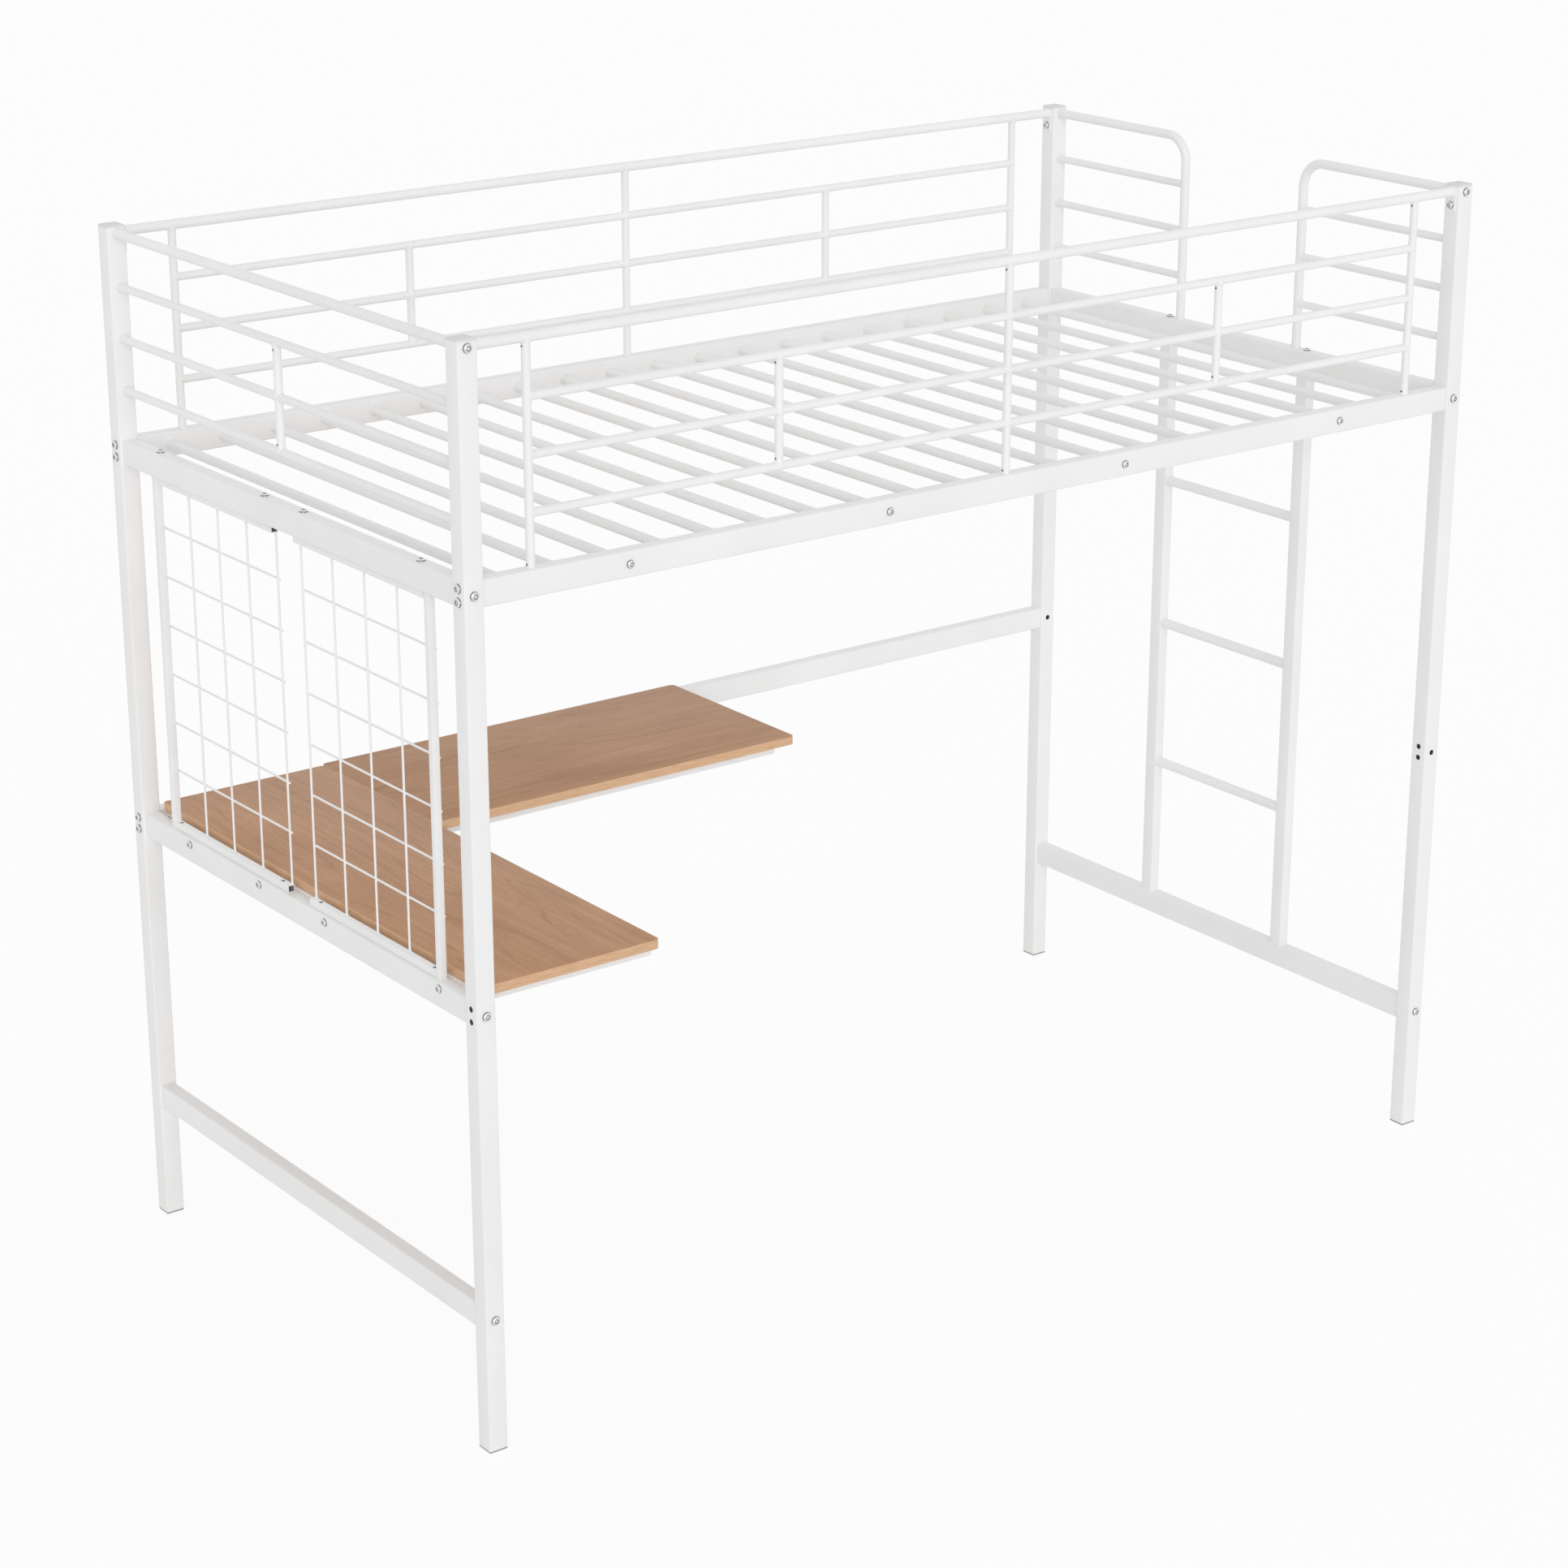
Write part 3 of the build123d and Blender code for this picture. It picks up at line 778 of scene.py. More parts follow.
# %% [markdown]
# ## Guards
# The guards keep a sleeper in. Each is welded from thinner round tube: a top tube, three bars below
# it, long uprights that go down to the bed rail, and short struts between the bars. On the real guard
# each bar stops at the next tube and is coped to its curve. Here a bar runs into the middle of the
# tube that it meets, which hides the cope, and the bead sits at the depth where the two surfaces
# touch. At each end the top tube is welded to a flat tab, which a bolt holds against the post.


# %% Long guards at the front and the back
TAB = 3 * MM
TAB_WIDTH = 20 * MM
TAB_FOOT = 1652 * MM
TAB_CORNER = 5 * MM
INTO_RAIL = 8 * MM
INTO_BAR = THIN_BAR * 0.44


def strut(bm, x, y):
    """A short upright between the three thin bars, in two lengths."""
    for upper, lower in zip(BAR_HEIGHTS, BAR_HEIGHTS[1:]):
        welded_bar(bm, (x, y, lower), (x, y, upper), THIN_BAR, INTO_BAR, INTO_BAR)


def long_guard(node):
    """A whole guard between two posts, with its tabs, uprights, bars and struts."""
    low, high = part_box(node)
    y = (low.y + high.y) / 2
    bm = bmesh.new()
    welded_bar(bm, (low.x, y, top_z), (high.x, y, top_z), TOP_TUBE, TAB, TAB)
    tab_head = top_z + TOP_TUBE / 2
    for x_side in (-1, 1):
        face = Vector((high.x * x_side, y, (tab_head + TAB_FOOT) / 2))
        inside = face - Vector((TAB * x_side, 0, 0))
        squared(bm, face, inside, TAB_WIDTH, tab_head - TAB_FOOT, TAB_CORNER, (0, 1, 0))
    for x in UPRIGHTS:
        welded_bar(bm, (x, y, bed_top - INTO_RAIL), (x, y, top_z), THIN_BAR, INTO_RAIL, TOP_TUBE / 2)
    for z in BAR_HEIGHTS:
        for start_x, end_x in zip(UPRIGHTS, UPRIGHTS[1:]):
            welded_bar(bm, (start_x, y, z), (end_x, y, z), THIN_BAR, INTO_BAR, INTO_BAR)
    for x in (-STRUT_X, STRUT_X):
        strut(bm, x, y)
    finish_piece(bm, f"{node}_frame", [WHITE], [node])


long_guard("guard_front")
long_guard("guard_back")
print("long guards:", newly_made())

# %% [markdown]
# The guard over the desk end is simpler. Its top tube is a piece of its own, and its three bars run
# straight into the posts, with one strut in the middle to stiffen them.

# %% Guard over the desk end
TOP_TUBE_SUNK = 0.3 * MM
reach = inner_y + INTO_RAIL
bm = bmesh.new()
for z in BAR_HEIGHTS:
    welded_bar(bm, (-post_x, -reach, z), (-post_x, reach, z), THIN_BAR, INTO_RAIL, INTO_RAIL)
strut(bm, -post_x, 0)
finish_piece(bm, "left_guard_bars", [WHITE], ["left_guard"])

bm = bmesh.new()
ends = ((-post_x, -inner_y, top_z), (-post_x, inner_y, top_z))
welded_bar(bm, *ends, TOP_TUBE, TOP_TUBE_SUNK, TOP_TUBE_SUNK)
finish_piece(bm, "left_top_tube_bar", [WHITE], ["left_top_tube"])
print("guard over the desk:", newly_made())

# %% [markdown]
# ## Vent holes
# A tube that is welded shut would burst in the coating oven, so each upright has a small hole near
# its welds. From the room they are dark dots. A Boolean cut through a welded frame, whose bars run
# into each other, is slow and often fails, so each dot is a thin disc in the dark inside colour, as
# painted shade for the hole, which is sunk into the tube and stands proud by less than a tenth of a
# millimetre.


# %% Vent holes of the guards
VENT = 3.8 * MM
VENT_GAP = 5 * MM
VENT_SINK = 1 * MM
VENT_PROUD = 0.06 * MM
VENT_SIDES = 16


def vent(bm, x, y, z, outward):
    """A dark disc in the side of a thin upright: painted shade for a vent hole."""
    surface = Vector((x, y, z)) + Vector(outward) * (THIN_BAR / 2 - VENT_SINK)
    turned(bm, surface, outward, [(0, VENT / 2), (VENT_SINK + VENT_PROUD, VENT / 2)], VENT_SIDES)


strut_vents = (BAR_HEIGHTS[0] - THIN_BAR / 2 - VENT_GAP, BAR_HEIGHTS[-1] + THIN_BAR / 2 + VENT_GAP)
upright_vents = (top_z - TOP_TUBE / 2 - VENT_GAP, bed_top + VENT_GAP)
bm = bmesh.new()
for y_side in (-1, 1):
    outward = (y_side, 0, 0)
    y = y_side * post_y
    for x in UPRIGHTS:
        for z in upright_vents:
            vent(bm, x, y, z, outward)
    for x in (-STRUT_X, STRUT_X):
        for z in strut_vents:
            vent(bm, x, y, z, outward)
for z in strut_vents:
    vent(bm, -post_x, 0, z, (-1, 0, 0))
# The discs take the dark inside colour: painted shade of the vent holes.
finish_piece(bm, "vent_holes", [TUBE_INSIDE])
print("vent holes:", newly_made())

# %% [markdown]
# ## Entry handles
# Beside the ladder the guard opens, and each side of the opening is one bent tube: along the top,
# through a quarter turn, and down into the bed rail. A curve with a bevel could draw it, but a mesh
# is needed in the end, so the circle is pulled straight, spun round the centre of the bend, and
# pulled straight again. Three bars join the handle to the post.


# %% Bent handles beside the ladder
HANDLE_BEND = 45 * MM
BEND_STEPS = 12
HANDLE_SIDES = 28
INTO_HANDLE = TOP_TUBE * 0.45


def entry_handle(node, y_side):
    """A handle that is bent towards the ladder, with its three bars to the post."""
    low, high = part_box(node)
    inner_edge = low.y if y_side > 0 else high.y
    y = inner_edge + y_side * TOP_TUBE / 2
    bend_y = y + y_side * HANDLE_BEND
    bm = bmesh.new()
    circle = bmesh.ops.create_circle(bm, cap_ends=True, segments=HANDLE_SIDES, radius=TOP_TUBE / 2)
    verts = list(circle["verts"])
    matrix = Matrix.Translation((post_x, y_side * inner_y, top_z)) @ side_to((0, -y_side, 0))
    bmesh.ops.transform(bm, matrix=matrix, verts=verts)
    ring, face = pulled(bm, verts[0].link_faces[0], (0, bend_y - y_side * inner_y, 0))
    spun = bmesh.ops.spin(
        bm,
        geom=[face, *face.verts, *face.edges],
        cent=(post_x, bend_y, top_z - HANDLE_BEND),
        axis=(y_side, 0, 0),
        angle=math.radians(90),
        steps=BEND_STEPS,
    )
    face = next(item for item in spun["geom_last"] if isinstance(item, bmesh.types.BMFace))
    pulled(bm, face, (0, 0, bed_top - INTO_RAIL - (top_z - HANDLE_BEND)))
    for z in BAR_HEIGHTS:
        end = (post_x, y_side * (inner_y + INTO_RAIL), z)
        welded_bar(bm, (post_x, y, z), end, THIN_BAR, INTO_HANDLE, INTO_RAIL)
    finish_piece(bm, f"{node}_tube", [WHITE], [node])


entry_handle("entry_handle_front", -1)
entry_handle("entry_handle_back", 1)
print("entry handles:", newly_made())

# %% [markdown]
# ## Ladder
# Two rectangular stiles stand between the bed rail and the bottom rail, and three round rungs are
# welded between them. The rungs are thicker than the guard bars, because a foot stands on them. The
# stiles use the square bar, and the rungs the round one, with a bead at the face of each stile.

# %% Ladder
LADDER_Y = 176 * MM
STILE_X = 20 * MM
STILE_Y = 28 * MM
STILE_CORNER = 3 * MM
RUNG_SIDES = 28
ladder_low, ladder_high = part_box("ladder")
bm = bmesh.new()
for y in (-LADDER_Y, LADDER_Y):
    ends = ((post_x, y, ladder_low.z), (post_x, y, ladder_high.z))
    squared(bm, *ends, STILE_X, STILE_Y, STILE_CORNER, (1, 0, 0))
hidden = STILE_Y / 2
for z in RUNG_HEIGHTS:
    welded_bar(bm, (post_x, -LADDER_Y, z), (post_x, LADDER_Y, z), RUNG, hidden, hidden, RUNG_SIDES)
finish_piece(bm, "ladder_frame", [WHITE], ["ladder"])
print("ladder:", newly_made())

# %% [markdown]
# ## Wire grids
# Two grids fill the space over the desk end, to hang things on. Each has a square tube at its outer
# side and two arms along the rails, with the wires welded between them. The arms are left open
# at their inner ends, and the lower one is drilled for its bolts. The arms are a piece of their own
# beside the upright, so that the Boolean cut has only plain, separate tubes to work on.

# %% Grid tubes
GRIDS = {"wire_grid_front": -1, "wire_grid_back": 1}
GRID_Y = 405 * MM
GRID_CORNER = 1.4 * MM
ARM_END = 33 * MM
ARM_BORE = 60 * MM
ARM_HOLES = (58 * MM, 387 * MM)
ARM_HOLE = 6.6 * MM


def grid_frame(node, y_side):
    """The square tubes of a grid. The lower arm is drilled, through its upper wall only."""
    low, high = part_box(node)
    half = GRID_TUBE / 2
    y = GRID_Y * y_side
    arm_heights = (low.z + half, high.z - half)
    bm = bmesh.new()
    ends = ((-post_x, y, low.z), (-post_x, y, high.z))
    squared(bm, *ends, GRID_TUBE, GRID_TUBE, GRID_CORNER, (1, 0, 0))
    finish_piece(bm, f"{node}_upright", [WHITE], [node])
    bm = bmesh.new()
    for z in arm_heights:
        ends = ((-post_x, ARM_END * y_side, z), (-post_x, y - half * y_side, z))
        squared(bm, *ends, GRID_TUBE, GRID_TUBE, GRID_CORNER, (1, 0, 0), ARM_BORE)
    # The arms' open ends take the grey inside colour: a thin film and painted shade.
    arms = finish_piece(bm, f"{node}_arms", [WHITE, OPEN_END])
    starts = [(-post_x, hole_y * y_side, arm_heights[0]) for hole_y in ARM_HOLES]
    drill_holes(arms, [(start, (0, 0, 1), GRID_TUBE, ARM_HOLE) for start in starts])


for grid, y_side in GRIDS.items():
    grid_frame(grid, y_side)
print("grid tubes:", newly_made())

# %% [markdown]
# The wires cross side by side, one layer in front of the other, and a nugget of melted wire joins
# them at every crossing. A small ball, squashed along the wires, is the simplest shape for that.


# %% Grid wires
WIRE_Y = (37 * MM, 128 * MM, 219 * MM, 310 * MM)
LOWEST_ROW = 824 * MM
ROW_GAP = 81.4 * MM
WIRE_ROWS = [LOWEST_ROW + ROW_GAP * row for row in range(6)]
WIRE_OVERHANG = 1 * MM
WIRE_SINK = 1 * MM
WIRE_SIDES = 12
NUGGET = 1.9 * MM
NUGGET_SQUASH = Matrix.Diagonal((1, 1.5, 1.2, 1))


def grid_wires(node, y_side):
    """The crossing wires of a grid, with a weld nugget at every crossing."""
    low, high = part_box(node)
    half = GRID_TUBE / 2
    cross_x = -post_x + half + WIRE / 2
    upright_x = cross_x - WIRE
    bm = bmesh.new()
    for y in WIRE_Y:
        start = (upright_x, y_side * y, low.z + GRID_TUBE - WIRE_SINK)
        end = (upright_x, y_side * y, high.z - GRID_TUBE + WIRE_SINK)
        welded_bar(bm, start, end, WIRE, WIRE_SINK, WIRE_SINK, WIRE_SIDES)
    for z in WIRE_ROWS:
        start = (cross_x, y_side * (WIRE_Y[0] - WIRE_OVERHANG), z)
        end = (cross_x, y_side * (GRID_Y + half - WIRE), z)
        welded_bar(bm, start, end, WIRE, sides=WIRE_SIDES)
        for y in (*WIRE_Y, GRID_Y):
            place = Matrix.Translation((cross_x - WIRE / 2, y_side * y, z)) @ NUGGET_SQUASH
            bmesh.ops.create_icosphere(bm, subdivisions=2, radius=NUGGET, matrix=place)
    finish_piece(bm, f"{node}_wires", [WHITE])


for grid, y_side in GRIDS.items():
    grid_wires(grid, y_side)
print("grid wires:", newly_made())

# %% [markdown]
# ## Desk boards
# Two boards make the L. A board starts as a box, but nothing on it may stay as sharp as a box: its
# standing corners are sawn to a small radius, and the glued foil is sanded off along every rim, so
# both get a bevel. The foil lies on the flat faces and the band on the cut sides, so the direction
# in which a face looks decides its material. The rims' bevels take the paler band, which is also a
# painted highlight along each rim.


# %% Desk boards
BOARD_CORNER = 9 * MM
BOARD_RIM = 0.7 * MM
RIM_ANGLE = math.radians(60)
LEVEL_ENOUGH = 0.95


def desk_board(node, foil):
    """A board with round corners, foil above and below, and the band on its sides."""
    low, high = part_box(node)
    bm = bmesh.new()
    bmesh.ops.create_cube(bm, size=1)
    bmesh.ops.scale(bm, vec=high - low, verts=bm.verts[:])
    bmesh.ops.translate(bm, vec=(low + high) / 2, verts=bm.verts[:])
    standing = [edge for edge in bm.edges if abs(edge.verts[0].co.z - edge.verts[1].co.z) > MM]
    bmesh.ops.bevel(
        bm, geom=standing, offset=BOARD_CORNER, segments=8, profile=0.5, affect="EDGES", material=-1
    )
    rims = [edge for edge in bm.edges if edge.calc_face_angle(0) > RIM_ANGLE]
    bmesh.ops.bevel(
        bm, geom=rims, offset=BOARD_RIM, segments=2, profile=0.5, affect="EDGES", material=-1
    )
    bm.normal_update()
    # The rims' bevels are not level, so they take the paler band: real band, and a painted highlight
    # too.
    for face in bm.faces:
        face.material_index = 0 if abs(face.normal.z) > LEVEL_ENOUGH else 1
    finish_piece(bm, f"{node}_panel", [foil, EDGE_BAND], [node])


desk_board("desk_board_end", OAK_ALONG_Y)
desk_board("desk_board_back", OAK_ALONG_X)
print("desk boards:", newly_made())

# %% [markdown]
# ## Desk frames
# A 15 mm board would sag, so each one is screwed down on a welded frame of 20 mm square tube. The two
# sides along the bed's length run all the way and are open at their ends, and the other two sides
# and the ribs stop between them.


# %% Desk frames
DESK_CORNER = 2 * MM
DESK_BORE = 60 * MM
END_RIBS = (-160 * MM, 150 * MM)
BACK_RIBS = (-410 * MM, -180 * MM)


def desk_frame(node, ribs_y=(), ribs_x=()):
    """A welded frame. ribs_y places the ribs that run along X, and ribs_x those along Y."""
    low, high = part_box(node)
    half = DESK_TUBE / 2
    z = (low.z + high.z) / 2
    bm = bmesh.new()
    for y in (low.y + half, high.y - half):
        ends = ((low.x, y, z), (high.x, y, z))
        squared(bm, *ends, DESK_TUBE, DESK_TUBE, DESK_CORNER, (0, 1, 0), DESK_BORE, DESK_BORE)
    for x in (low.x + half, high.x - half, *ribs_x):
        ends = ((x, low.y + DESK_TUBE, z), (x, high.y - DESK_TUBE, z))
        squared(bm, *ends, DESK_TUBE, DESK_TUBE, DESK_CORNER, (1, 0, 0))
    for y in ribs_y:
        ends = ((low.x + DESK_TUBE, y, z), (high.x - DESK_TUBE, y, z))
        squared(bm, *ends, DESK_TUBE, DESK_TUBE, DESK_CORNER, (0, 1, 0))
    # The open ends take the grey inside colour: a thin film and painted shade.
    finish_piece(bm, f"{node}_tubes", [WHITE, OPEN_END], [node])


desk_frame("desk_frame_end", ribs_y=END_RIBS)
desk_frame("desk_frame_back", ribs_x=BACK_RIBS)
print("desk frames:", newly_made())

# %% [markdown]
# ## Bolts
# Every bolt has a low domed head with a six-sided socket for the key. One head is turned on the
# round-bar tool, from a profile that falls off like a button. Its flat top is inset, the inset face
# is pushed out to a hexagon, and the hexagon is pushed down. The flank at the foot, the socket's lip
# and its walls get a darker copy of the zinc, as painted shade, because so little light reaches them.
# The profile and the shares below it are parts of the head's height or radius, so one function makes
# heads of every size.


# %% One bolt head
HEAD_PROFILE = (
    (0, 1),
    (0.18, 1),
    (0.34, 0.955),
    (0.5, 0.89),
    (0.66, 0.81),
    (0.8, 0.73),
    (0.92, 0.64),
    (1, 0.56),
)
SOCKET_DEPTH = 0.2
LIP_SHARE = 0.12
FLANK_SHARE = 0.43
SIXTH = math.radians(60)


def bolt_head(name, width, height, key):
    """A domed head that stands on z = 0, with its hexagon socket on top."""
    bm = bmesh.new()
    radius = width / 2
    stations = [(height * up, radius * out) for up, out in HEAD_PROFILE]
    top = turned(bm, (0, 0, 0), (0, 0, 1), stations)
    lip = bmesh.ops.inset_region(bm, faces=[top], thickness=radius * LIP_SHARE)["faces"]
    for vert in top.verts:
        angle = math.atan2(vert.co.y, vert.co.x)
        reach = key / 2 / math.cos(angle % SIXTH - SIXTH / 2)
        vert.co.x, vert.co.y = reach * math.cos(angle), reach * math.sin(angle)
    ring, floor = pulled(bm, top, (0, 0, -height * SOCKET_DEPTH))
    walls = {face for vert in ring for face in vert.link_faces} - {floor}
    flank = [face for face in bm.faces if face.calc_center_median().z < height * FLANK_SHARE]
    # Painted shade: the flank, the lip and the socket's walls take the darker copy of the zinc.
    for face in [*flank, *lip, *walls]:
        face.material_index = 1
    return new_mesh(bm, name)


BIG_HEAD = bolt_head("big_head", width=14.5 * MM, height=4 * MM, key=5 * MM)
SMALL_HEAD = bolt_head("small_head", width=13 * MM, height=3.6 * MM, key=4.5 * MM)
SCREW_HEAD = bolt_head("screw_head", width=8 * MM, height=2 * MM, key=3 * MM)
print("faces of a head:", len(BIG_HEAD.polygons))

# %% [markdown]
# There are some seventy bolts and screws, and an object for each would be slow to handle. So a
# finished head is stamped wherever a bolt sits: its mesh is read into one bmesh again and again, and
# each new copy is turned to look outwards and moved to its seat.


# %% Stamping heads where bolts sit
HEAD_SMOOTH_BELOW = 30


def stamp(bm, mesh, seat, outward):
    """Adds a copy of a mesh that stands on a seat and points outward."""
    before = len(bm.verts)
    bm.from_mesh(mesh)
    bm.verts.ensure_lookup_table()
    matrix = Matrix.Translation(seat) @ side_to(outward)
    bmesh.ops.transform(bm, matrix=matrix, verts=bm.verts[before:])


bm = bmesh.new()
stamp(bm, SMALL_HEAD, (0, 0, 0), (1, 0, 0))
print("a stamped head stands", round(max(vert.co.x for vert in bm.verts) / MM, 1), "mm proud")
bm.free()

# %% [markdown]
# The posts carry the large bolts. One bolt goes through a post's front or back into each rail, tube
# and handle at the bed's ends, and a pair goes through its side into each long rail. At desk height
# only the left posts have the single bolt, and only the back posts the pair.

# %% Bolts of the posts
half_x = post_x + POST / 2
half_y = post_y + POST / 2
bm = bmesh.new()
for z in (top_z, bed_z, desk_z, bottom_z):
    for x_side in (-1, 1) if z != desk_z else (-1,):
        for y_side in (-1, 1):
            stamp(bm, BIG_HEAD, (x_side * post_x, y_side * half_y, z), (0, y_side, 0))
for y_side, z in ((-1, bed_z), (1, bed_z), (1, desk_z)):
    for x_side in (-1, 1):
        for dz in (-PAIR, PAIR):
            stamp(bm, BIG_HEAD, (x_side * half_x, y_side * post_y, z + dz), (x_side, 0, 0))
# The heads take the zinc and its darker copy, which paints the shade on flanks and sockets.
plating = [ZINC, SHADED_ZINC]
finish_piece(bm, "post_bolt_heads", plating, ["post_bolts"], HEAD_SMOOTH_BELOW)
print("bolts of the posts:", newly_made())

# %% [markdown]
# Smaller bolts hold four of the slats in the side rails, the desk frames on their rails, the grids
# and the ladder from above and below, and each tab of the long guards on its post.

# %% Small bolts of the rails, guards and grids
SIDE_BOLT_X = (-709 * MM, -236 * MM, 236 * MM, 709 * MM)
END_FRAME_BOLT_Y = (-417 * MM, -88 * MM, 114 * MM, 339 * MM)
BACK_FRAME_BOLT_X = (-600 * MM, -300 * MM, 0)
GRID_BOLT_Y = (-387 * MM, -58 * MM, 58 * MM, 387 * MM)
UNDER_RAIL_TOP = 9 * MM
TAB_BOLT_Z = 1665 * MM
rail_out_x = -left_rail_low.x
rail_out_y = -front_rail_low.y
frame_bolt_z = desk_rail_high.z - UNDER_RAIL_TOP
bm = bmesh.new()
for y_side in (-1, 1):
    for x in SIDE_BOLT_X:
        stamp(bm, SMALL_HEAD, (x, y_side * rail_out_y, bed_z), (0, y_side, 0))
for y in END_FRAME_BOLT_Y:
    stamp(bm, SMALL_HEAD, (-rail_out_x, y, frame_bolt_z), (-1, 0, 0))
for x in BACK_FRAME_BOLT_X:
    stamp(bm, SMALL_HEAD, (x, rail_out_y, frame_bolt_z), (0, 1, 0))
for y in GRID_BOLT_Y:
    stamp(bm, SMALL_HEAD, (-post_x, y, bed_top), (0, 0, 1))
    stamp(bm, SMALL_HEAD, (-post_x, y, desk_rail_low.z), (0, 0, -1))
for y in (-LADDER_Y, LADDER_Y):
    stamp(bm, SMALL_HEAD, (post_x, y, bed_top), (0, 0, 1))
    stamp(bm, SMALL_HEAD, (post_x, y, bottom_rail_low.z), (0, 0, -1))
for x_side in (-1, 1):
    for y_side in (-1, 1):
        seat = (x_side * (inner_x - TAB), y_side * post_y, TAB_BOLT_Z)
        stamp(bm, SMALL_HEAD, seat, (-x_side, 0, 0))
finish_piece(bm, "small_bolt_heads", plating, smooth_below=HEAD_SMOOTH_BELOW)
print("small bolts:", newly_made())

# %% [markdown]
# Each board is held by screws that come up through its frame, so nothing shows on the desk's top.
# When the last head is stamped, the loose meshes of the heads are thrown away.

# %% Screws that hold the boards from below
SCREW_INSET = 45 * MM
bm = bmesh.new()
for node, ribs_y, ribs_x in (("desk_frame_end", END_RIBS, ()), ("desk_frame_back", (), BACK_RIBS)):
    low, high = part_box(node)
    half = DESK_TUBE / 2
    for x in (low.x + SCREW_INSET, high.x - SCREW_INSET):
        for y in (low.y + half, high.y - half, *ribs_y):
            stamp(bm, SCREW_HEAD, (x, y, low.z), (0, 0, -1))
    for x in ribs_x:
        for y in (low.y + SCREW_INSET, high.y - SCREW_INSET):
            stamp(bm, SCREW_HEAD, (x, y, low.z), (0, 0, -1))
finish_piece(bm, "board_screw_heads", plating, smooth_below=HEAD_SMOOTH_BELOW)
print("screws under the boards:", newly_made())
for mesh in (BIG_HEAD, SMALL_HEAD, SCREW_HEAD):
    bpy.data.meshes.remove(mesh)

# %% [markdown]
# ## Stage
# The stage is a pale floor under a white world. A lit floor is never as white as paper, and brighter
# lamps would burn out the white paint. So both are told apart by the kind of ray that meets them:
# the camera, and a reflection in metal, see paper white, and every other ray sees the plain, softer
# light that the paint needs. A small share of the floor's own shading is kept in the camera's view,
# so that the bed still has a faint shadow to stand on.


# %% Floor
FLOOR_SIZE = 30
FLOOR_GAP = 0.5 * MM
FLOOR_DARK = (0.92, 0.92, 0.92, 1)
FLOOR_LIGHT = (0.94, 0.94, 0.94, 1)
PAPER = (1, 1, 1, 1)
PAPER_SHARE = 0.9


def seen_directly(tree):
    """1 for a camera ray or a mirrored ray, and 0 for the light that falls on things."""
    start = Value(tree)
    camera_ray = start.node("LightPath", {}, output="Is Camera Ray")
    return camera_ray + start.node("LightPath", {}, output="Is Glossy Ray")


def floor_paint():
    material, shader, place = start_material("pale_floor")
    tree = material.node_tree
    grain = place.noise(scale=40, detail=3)
    feed(shader, base_color=grain.mix(FLOOR_DARK, FLOOR_LIGHT), roughness=0.9)
    glow = place.node("Emission", {"Color": PAPER, "Strength": 1.0})
    paint = Value(tree, shader.outputs[0])
    blend = place.node("MixShader", {0: PAPER_SHARE * seen_directly(tree), 1: paint, 2: glow})
    tree.links.new(blend.socket, tree.nodes["Material Output"].inputs["Surface"])
    return material


bm = bmesh.new()
bmesh.ops.create_grid(bm, x_segments=1, y_segments=1, size=FLOOR_SIZE)
bmesh.ops.translate(bm, vec=(0, 0, -FLOOR_GAP), verts=bm.verts[:])
floor = new_object("floor", new_mesh(bm, "floor", [floor_paint()]))
print("floor:", floor.dimensions.x, "m wide")

# %% [markdown]
# The world lights the bed from all sides. It is the same trick with two backgrounds instead of a
# paint and a glow: a softer one for the light, and paper white for the eye.

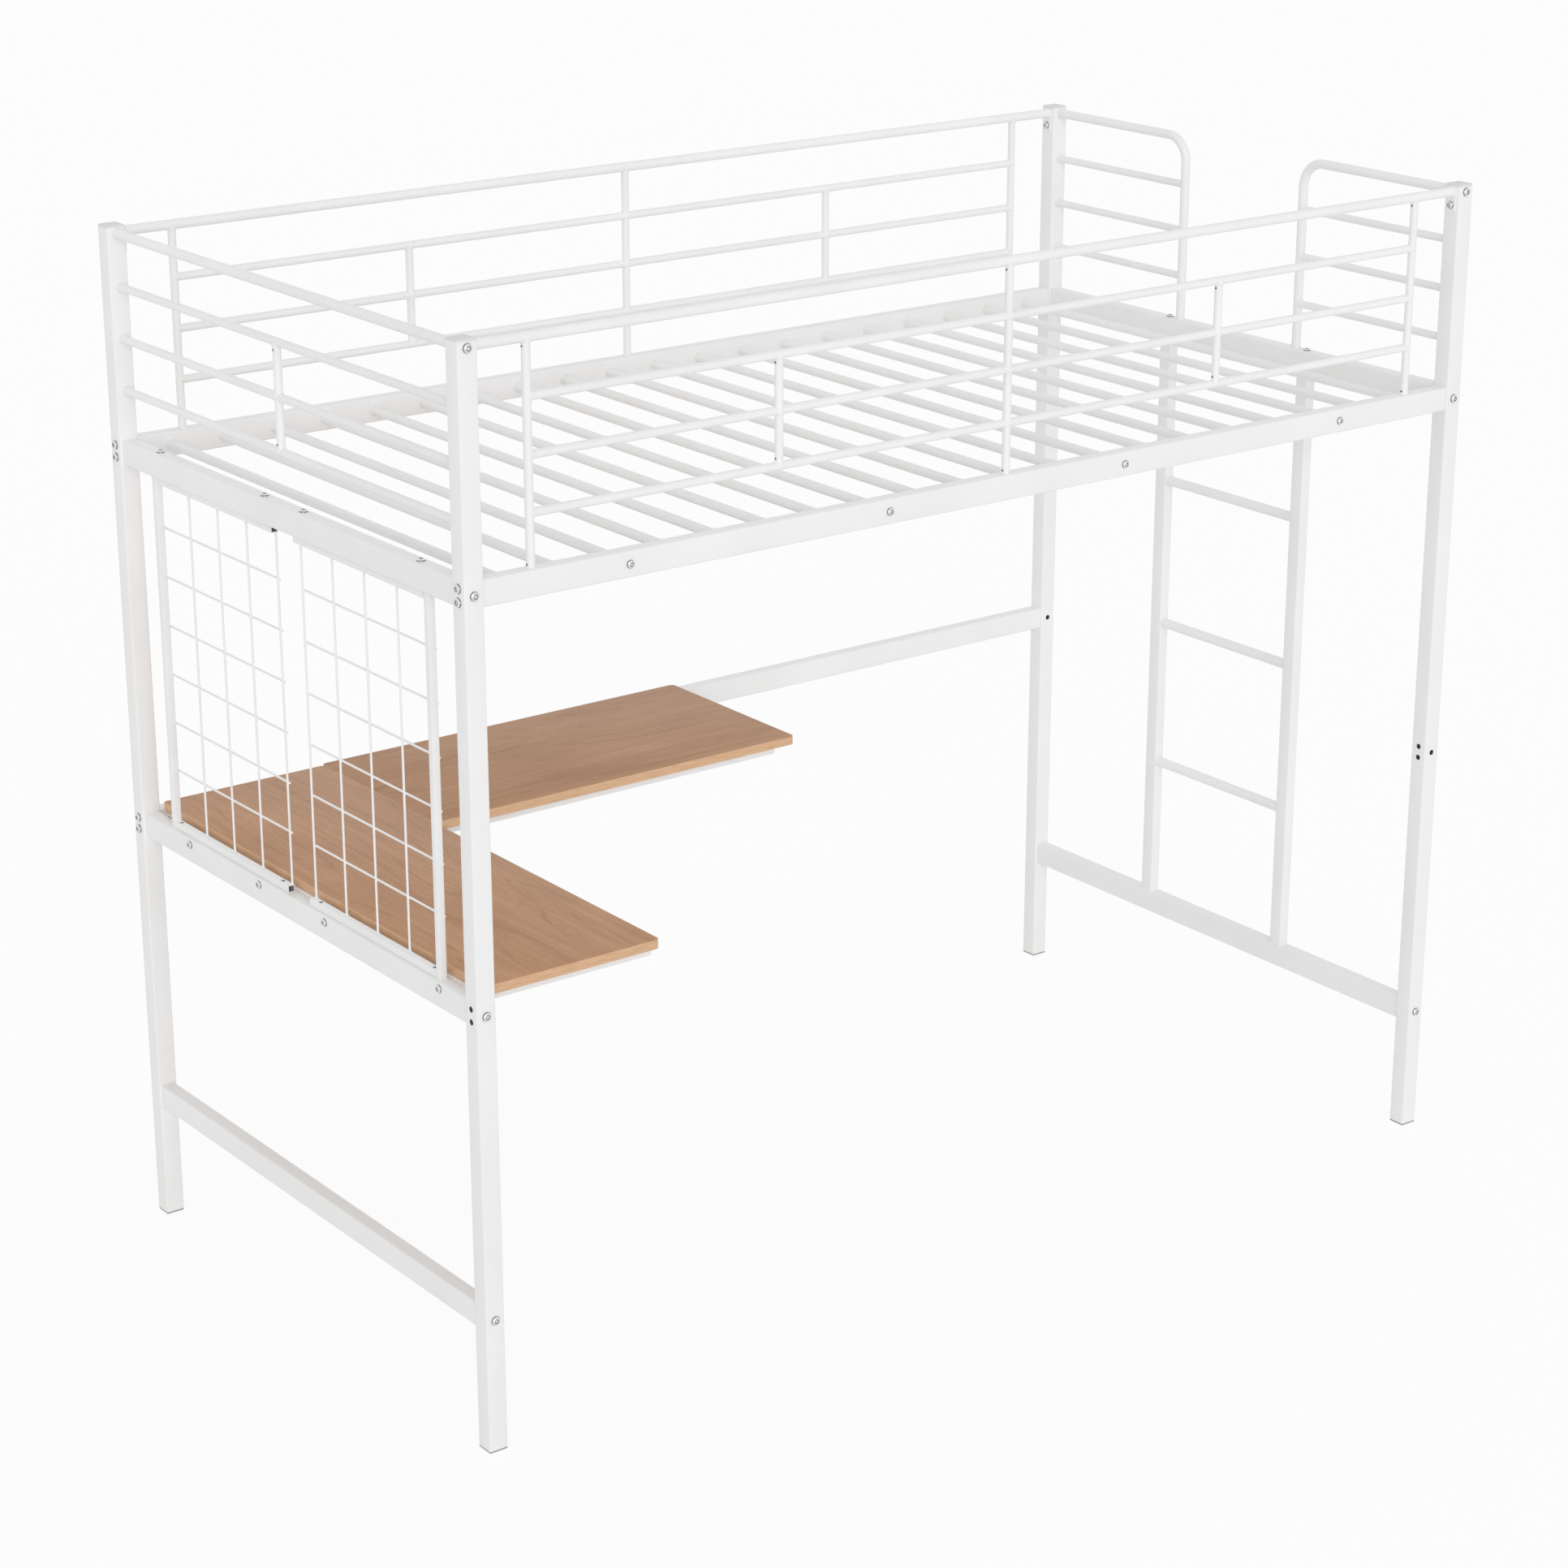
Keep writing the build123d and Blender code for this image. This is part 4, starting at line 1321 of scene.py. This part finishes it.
# %% World
WORLD_LEVEL = 0.76
world = bpy.data.worlds.new("studio")
bpy.context.scene.world = world
world.use_nodes = True
tree = world.node_tree
light = Value(tree).node("Background", {"Color": PAPER, "Strength": WORLD_LEVEL})
paper = light.node("Background", {"Color": PAPER, "Strength": 1.0})
either = light.node("MixShader", {0: seen_directly(tree), 1: light, 2: paper})
tree.links.new(either.socket, tree.nodes["World Output"].inputs["Surface"])
tree.nodes.remove(tree.nodes["Background"])
print("world: light at", WORLD_LEVEL, "and", len(tree.nodes), "nodes")

# %% [markdown]
# ## Light
# A white world alone lights every side alike, and a white frame then loses its shape. One very soft
# sun is added, low and from the front, a little to the left: the front faces come out brightest, the
# left faces next and the tops last. Its disc is made 40 degrees wide, as large as a studio's soft
# box, so its shadows have no edges.


# %% A soft sun
SUN_FROM = Vector((-0.43, -0.89, 0.16))
SUN_WIDTH = math.radians(40)
SUN_STRENGTH = 0.9
sun = bpy.data.lights.new("front_light", "SUN")
sun.angle = SUN_WIDTH
sun.energy = SUN_STRENGTH
sun_holder = new_object("front_light", sun)
sun_holder.rotation_euler = SUN_FROM.to_track_quat("Z", "Y").to_euler()
print("sun:", sun.energy, "and", round(math.degrees(sun.angle)), "degrees wide")

# %% [markdown]
# ## Camera
# The camera stands to the left of the front, a metre above the bed, and far enough away that the
# upright posts stay nearly parallel. Its direction is written as two angles and turned into a vector,
# because angles are what one would measure on a tripod.

# %% Camera
AZIMUTH = math.radians(37.03)
ELEVATION = math.radians(19.42)
CAMERA_PLACE = (-3.5594, -4.6628, 2.7768)
SENSOR = 36
FOCAL_SHARE = 4513.6 / 1932
lens = bpy.data.cameras.new("camera")
lens.sensor_width = SENSOR
lens.lens = SENSOR * FOCAL_SHARE
lens.clip_end = 100
camera = new_object("camera", lens)
level = math.cos(ELEVATION)
look = Vector((math.sin(AZIMUTH) * level, math.cos(AZIMUTH) * level, -math.sin(ELEVATION)))
camera.location = CAMERA_PLACE
camera.rotation_euler = look.to_track_quat("-Z", "Y").to_euler()
bpy.context.scene.camera = camera
bpy.context.scene.view_settings.view_transform = "Standard"
print("lens:", round(lens.lens, 1), "mm")

# %% [markdown]
# ## The bed's size
# The bed's size belongs to the imported model, and its box was printed when the model was loaded.
